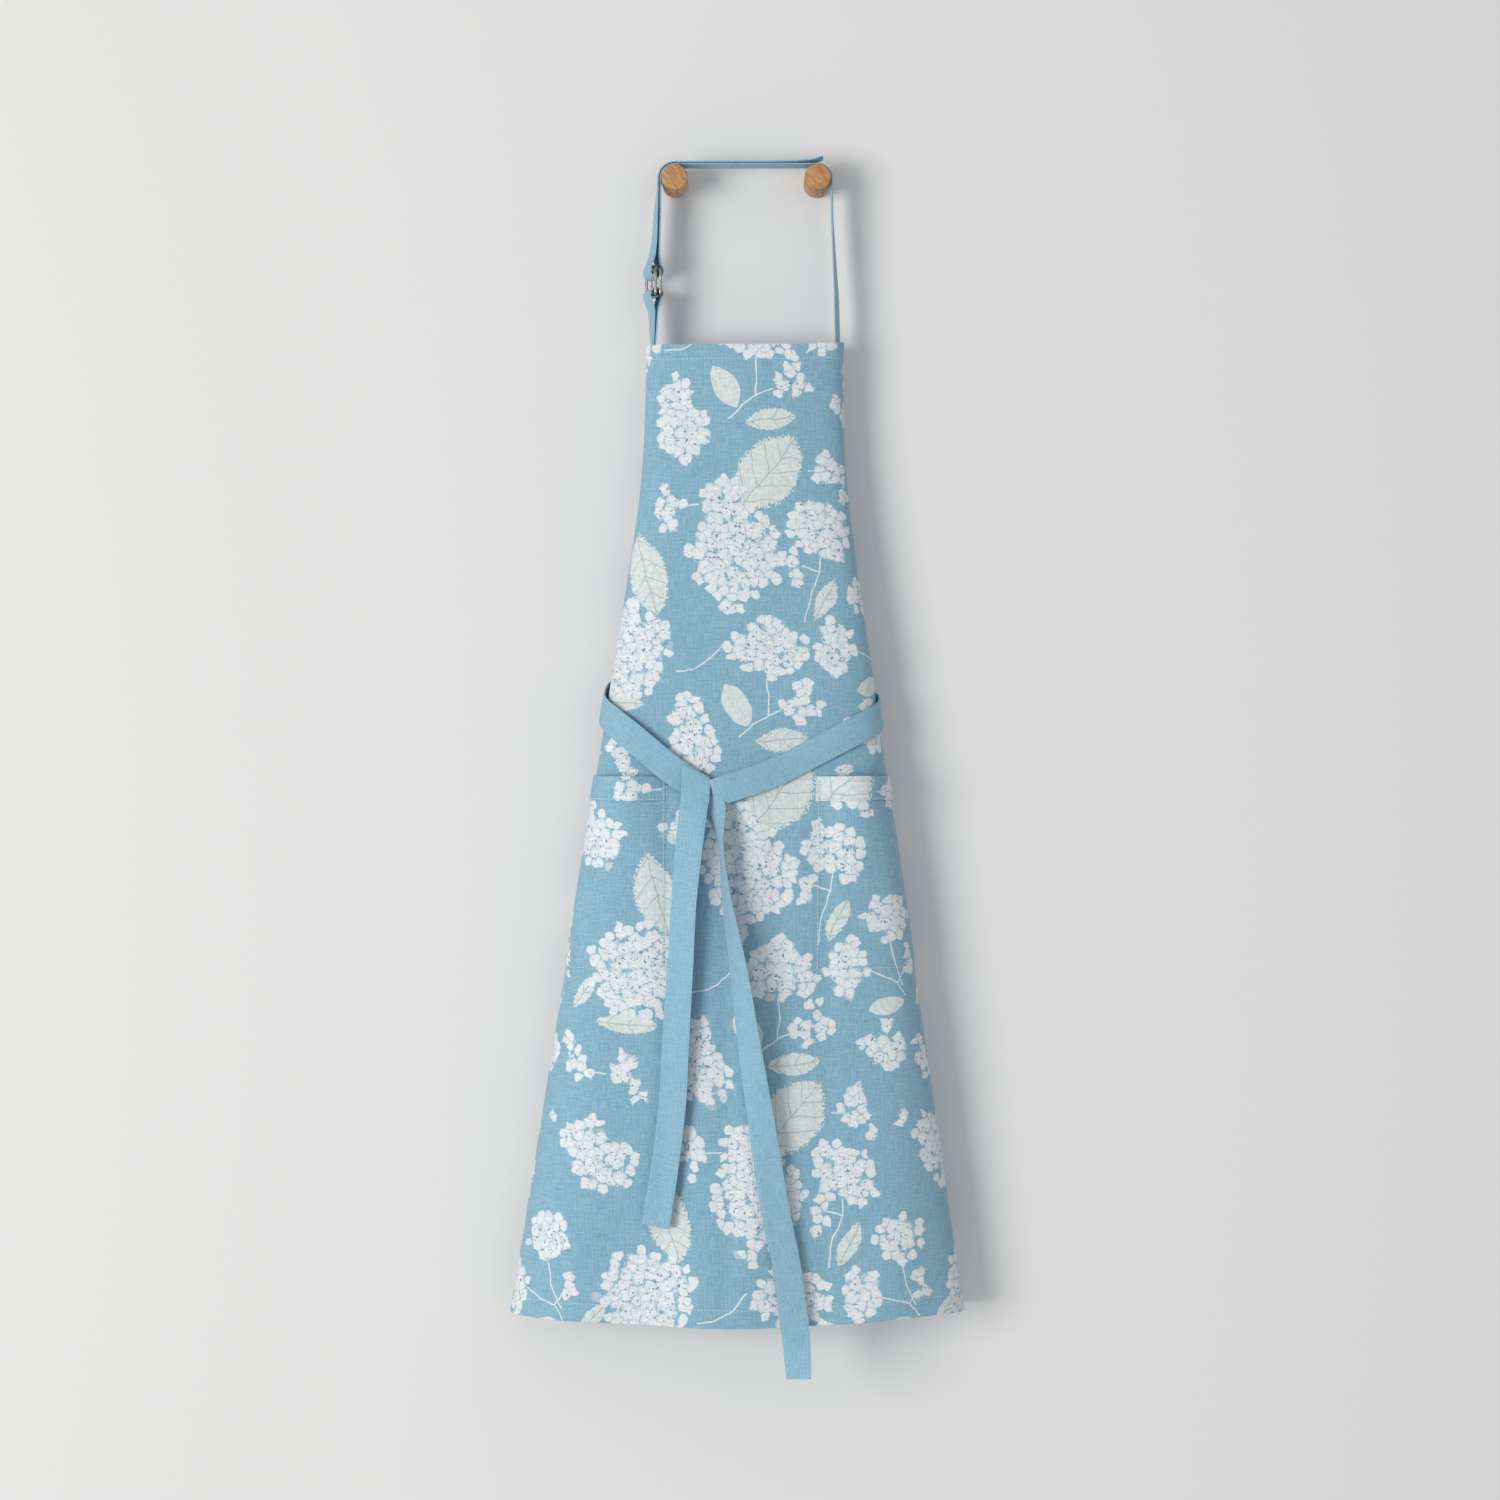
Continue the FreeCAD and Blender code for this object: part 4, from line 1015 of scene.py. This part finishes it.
nickel = hard_finish("nickel_plate", "#B9B6AF", "#8F8C86", 1.0, 0.16, 180)
zinc = hard_finish("zinc_plated_steel", "#B9BDC2", "#989DA4", 1.0, 0.34, 240)
brass = hard_finish("turned_brass", "#D2AE66", "#B28C46", 1.0, 0.28, 240)
nylon = hard_finish("moulded_nylon", "#9AA0A4", "#8B9195", 0.0, 0.45, 300)
print("made", ", ".join(finish.name for finish in (nickel, zinc, brass, nylon)))

# %% Dressing the CAD parts
def dress(node, material):
    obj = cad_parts[node]
    if not obj.material_slots:
        obj.data.materials.append(None)
    for material_slot in obj.material_slots:
        material_slot.link = "OBJECT"
        material_slot.material = material


for side_name in SIDES:
    dress(f"{side_name}_peg", beech)
    dress(f"{side_name}_threaded_insert", brass)
    dress(f"{side_name}_hanger_bolt", zinc)
    dress(f"{side_name}_wall_plug", nylon)
for ring in ("outer_d_ring", "inner_d_ring"):
    dress(ring, nickel)
print("dressed", 4 * len(SIDES) + 2, "CAD parts")

# %% [markdown]
# ## Stitching
# Seams are sewn with cotton thread, about three stitches to a centimetre. Each stitch is a
# small plump bead of thread half sunk in the cloth: a line drawn in a texture would slide off
# the edge where the cloth turns. The stitches of a seam are one mesh.

# %% Thread
STITCH_PITCH, STITCH_LONG, STITCH_THICK = 3.2, 2.3, 0.6


def cotton_thread(name, light, dark):
    material, tree, shader = new_material(name)
    spot = add(tree, "TexCoord", {}, pick=3)
    twist = add(tree, "TexNoise", {"Vector": spot, "Scale": 900.0, "Detail": 1.0})
    colour = blend_colours(tree, ramp(tree, twist, 0.35, 0.65), linear(dark), linear(light))
    rough = ramp(tree, twist, 0.3, 0.7, 0.75, 0.65)
    finish_material(tree, shader, colour, rough, twist, 0.0001)
    return material


pale_thread = cotton_thread("cotton_thread_pale", "#C9DEE8", "#AECBD9")
blue_thread = cotton_thread("cotton_thread_blue", "#A8CCDD", "#83B1C7")
print("stitches every", STITCH_PITCH, "mm")

# %% Rows of stitches
BEAD = [
    (-0.5, 0, 0.0), (-0.3, -0.5, 0.25), (-0.3, 0.5, 0.25), (0.3, -0.5, 0.25), (0.3, 0.5, 0.25), (0.5, 0, 0.0),
    (-0.28, 0, 0.55), (0.28, 0, 0.55), (0.0, -0.5, 0.3), (0.0, 0.5, 0.3), (0.0, 0, 0.62), (0.0, 0, -0.3),
]
BEAD_SIDES = [
    (0, 1, 6), (0, 6, 2), (1, 8, 10, 6), (6, 10, 9, 2), (8, 3, 7, 10), (10, 7, 4, 9), (3, 5, 7), (7, 5, 4),
    (0, 11, 1), (1, 11, 8), (8, 11, 3), (3, 11, 5), (0, 2, 11), (2, 9, 11), (9, 4, 11), (4, 5, 11),
]


def stitch_line(place, way):
    """The middle, direction and outward way of each stitch along a line of points."""
    run = np.concatenate([[0], np.cumsum(np.linalg.norm(np.diff(place, axis=0), axis=1))])
    at = np.arange(STITCH_PITCH, run[-1] - STITCH_PITCH / 2, STITCH_PITCH)
    middle = np.stack([np.interp(at, run, place[:, i]) for i in range(3)], -1)
    ahead = np.stack([np.interp(at + 1, run, place[:, i]) for i in range(3)], -1)
    out = np.stack([np.interp(at, run, way[:, i]) for i in range(3)], -1)
    return middle, unit(ahead - middle), unit(out)


def sew(name, lines, material, body):
    """One mesh of stitches along several lines, each a (points, ways) pair."""
    vertices, faces = [], []
    for points, ways in lines:
        middle, ahead, out = stitch_line(points, ways)
        over = np.cross(out, ahead)
        for m, t, o, w in zip(middle, ahead, out, over):
            base = len(vertices)
            for x, y, z in BEAD:
                vertices.append(m + t * x * STITCH_LONG + w * y * STITCH_THICK + o * z * STITCH_THICK)
            faces += [tuple(base + i for i in side) for side in BEAD_SIDES]
    piece = new_object(name, vertices, faces, [material], body)
    print(f"{name}: {len(vertices) // len(BEAD)} stitches")
    return piece


def on_cloth(across, down, off=CLOTH):
    """A seam's line on the hung cloth: its points and outward ways."""
    across, down = np.broadcast_arrays(np.asarray(across, float), np.asarray(down, float))
    return hang(across, down, off)


# %% The panel's seams
STEPS = 260
BIB_SEAM = 13.0
bib_end = float(half_width(BIB_SEAM)) - 4
bib_line = np.linspace(-bib_end, bib_end, STEPS)
hem_line = np.linspace(-SKIRT_HALF_WIDTH + 6, SKIRT_HALF_WIDTH - 6, 2 * STEPS)
arm_downs = np.linspace(4, WAIST_DOWN, STEPS)
side_downs = np.linspace(WAIST_DOWN, APRON_LENGTH - 6, 2 * STEPS)
panel_lines = [on_cloth(bib_line, BIB_SEAM), on_cloth(hem_line, APRON_LENGTH - HEM_DEPTH + 2)]
for side in SIDES.values():
    panel_lines.append(on_cloth(side * (half_width(arm_downs) - ARM_SEAM_IN), arm_downs))
    panel_lines.append(on_cloth(side * (SKIRT_HALF_WIDTH - ARM_SEAM_IN) + 0 * side_downs, side_downs))
panel_stitches = sew("apron_seam_stitches", panel_lines, pale_thread, "apron")

# %% The pockets' seams
def pocket_line(side, across, down, lift):
    """A seam's line on a pocket, lift millimetres above the panel."""
    across, down = np.broadcast_arrays(np.asarray(side * across, float), np.asarray(down, float))
    return hang(across, down, pocket_gape(across, down) + lift)


flat_lift = 2 * CLOTH + LAYER_GAP
band_lift = 3 * CLOTH + 2 * LAYER_GAP
near, far = POCKET_INNER_EDGE + POCKET_SEAM_IN, POCKET_INNER_EDGE + POCKET_WIDTH - POCKET_SEAM_IN
foot_down = POCKET_DOWN + POCKET_HEIGHT - POCKET_SEAM_IN
downs = np.linspace(POCKET_DOWN + 1, foot_down, STEPS)
band_downs = np.linspace(POCKET_DOWN + 1, POCKET_DOWN + POCKET_BAND - 1, 40)
acrosses = np.linspace(near, far, STEPS)
for side_name, side in SIDES.items():
    lines = [pocket_line(side, near, downs, flat_lift), pocket_line(side, far, downs, flat_lift),
             pocket_line(side, acrosses, foot_down, flat_lift),
             pocket_line(side, acrosses, POCKET_DOWN + POCKET_BAND - 1.5, band_lift),
             pocket_line(side, near, band_downs, band_lift)]
    sew(f"{side_name}_pocket_stitches", lines, pale_thread, "apron")

# %% The straps' edges
def edge_stitches(name, place, way, thick, body):
    """Topstitching along both edges of a strap, on both of its faces."""
    lines = []
    for column in (1, COLUMNS - 2):
        for face in (1, -1):
            lines.append((place[:, column] + way[:, column] * face * thick / 2, way[:, column] * face))
    return sew(name, lines, blue_thread, body)


left_tie_stitches = edge_stitches("left_tie_stitches", left_place, left_way, TIE_THICK, None)
right_band_stitches = edge_stitches("right_band_stitches", right_place, right_way, TIE_THICK, "apron")
right_tail_stitches = edge_stitches("right_tail_stitches", down_place, down_way, TIE_THICK, None)
strap_stitches = edge_stitches("neck_strap_stitches", strap_place, strap_way, STRAP_THICK, None)
tab_stitches = edge_stitches("ring_tab_stitches", tab_place, tab_way, STRAP_THICK, None)

# %% [markdown]
# ## Cloth across the joints
# The strap turns where it meets the bib, and each tie's hanging end turns at the knot, so those pieces cross a
# joint. Here each one, with its stitches, only has its place baked into its mesh.

# %% Places baked into the meshes
for piece in (neck_strap, strap_stitches, ring_tab, tab_stitches):
    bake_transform(piece)
for piece in (left_tie, left_tie_stitches):
    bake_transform(piece)
for piece in (right_tail, right_tail_stitches):
    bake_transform(piece)

# %% [markdown]
# ## Cut sizes
# The size that each waist tie was cut to is printed: its width and the length along its middle.


for tie, length, thread in ((left_tie, left_tie_length, left_tie_stitches),
                            (right_band, right_band_length, right_band_stitches),
                            (right_tail, right_tail_length, right_tail_stitches)):
    print(f"{tie.name} was cut {TIE_WIDTH:.0f} by {length:.0f} mm")

# %% [markdown]
# ## Wall, floor and light
# The apron hangs against a plain pale wall, above a pale floor that lies some way below the
# hem. A plane that is clear from behind never hides the apron from the other side, which a box
# or a thick wall would. It sends no light back.

# %% Wall and floor
SURFACE_SIZE = 12.0
FLOOR_HEIGHT = -1.62


def plain_surface(name, code, place, turn):
    mesh = bpy.data.meshes.new(name)
    half = SURFACE_SIZE / 2
    corners = [(-half, -half, 0), (half, -half, 0), (half, half, 0), (-half, half, 0)]
    mesh.from_pydata(corners, [], [(0, 1, 2, 3)])
    material, tree, shader = new_material(name + "_paint")
    shader.inputs["Base Color"].default_value = linear(code)
    shader.inputs["Roughness"].default_value = 0.95
    shader.inputs["Specular IOR Level"].default_value = 0.1
    clear = add(tree, "BsdfTransparent", {})
    back = add(tree, "NewGeometry", {}, pick=6)
    seen = add(tree, "MixShader", {0: back, 1: shader.outputs[0], 2: clear})
    tree.links.new(seen, tree.nodes["Material Output"].inputs["Surface"])
    mesh.materials.append(material)
    surface = bpy.data.objects.new(name, mesh)
    surface.location, surface.rotation_euler = place, turn
    bpy.context.scene.collection.objects.link(surface)
    surface.visible_shadow = surface.visible_diffuse = surface.visible_glossy = False


plain_surface("plain_wall", "#D6D7D8", (0, 0.001, 0), (math.radians(90), 0, 0))
plain_surface("plain_floor", "#DEDDDB", (0, -5.0, FLOOR_HEIGHT), (0, 0, 0))
print("the floor is", round(-FLOOR_HEIGHT, 2), "m below the pegs")

# %% [markdown]
# ## Light
# One large round light stands in front on the left, about level with the apron, like a window.
# It shades the cloth from left to right and throws a soft shadow on the wall. A weak light on
# the right and an even pale world lift the shadows. A smaller light would make them hard.

# %% Lights
AIM = (0, 0, -0.5)


def soft_light(name, place, size, watts, code):
    data = bpy.data.lights.new(name, "AREA")
    data.shape, data.size, data.energy, data.color = "DISK", size, watts, linear(code)[:3]
    lamp = bpy.data.objects.new(name, data)
    lamp.location = place
    lamp.rotation_euler = (Vector(AIM) - Vector(place)).to_track_quat("-Z", "Y").to_euler()
    bpy.context.scene.collection.objects.link(lamp)


soft_light("window_light", (-3.7, -4.2, -0.7), 2.8, 222, "#FFFCF7")
soft_light("room_fill", (2.4, -4.2, -0.4), 3.0, 12, "#FAFAFC")
bpy.context.scene.view_settings.view_transform = "Standard"
world = bpy.data.worlds.new("room_air")
world.use_nodes = True
world.node_tree.nodes["Background"].inputs[0].default_value = linear("#F4F4F5")
world.node_tree.nodes["Background"].inputs[1].default_value = 0.61
bpy.context.scene.world = world
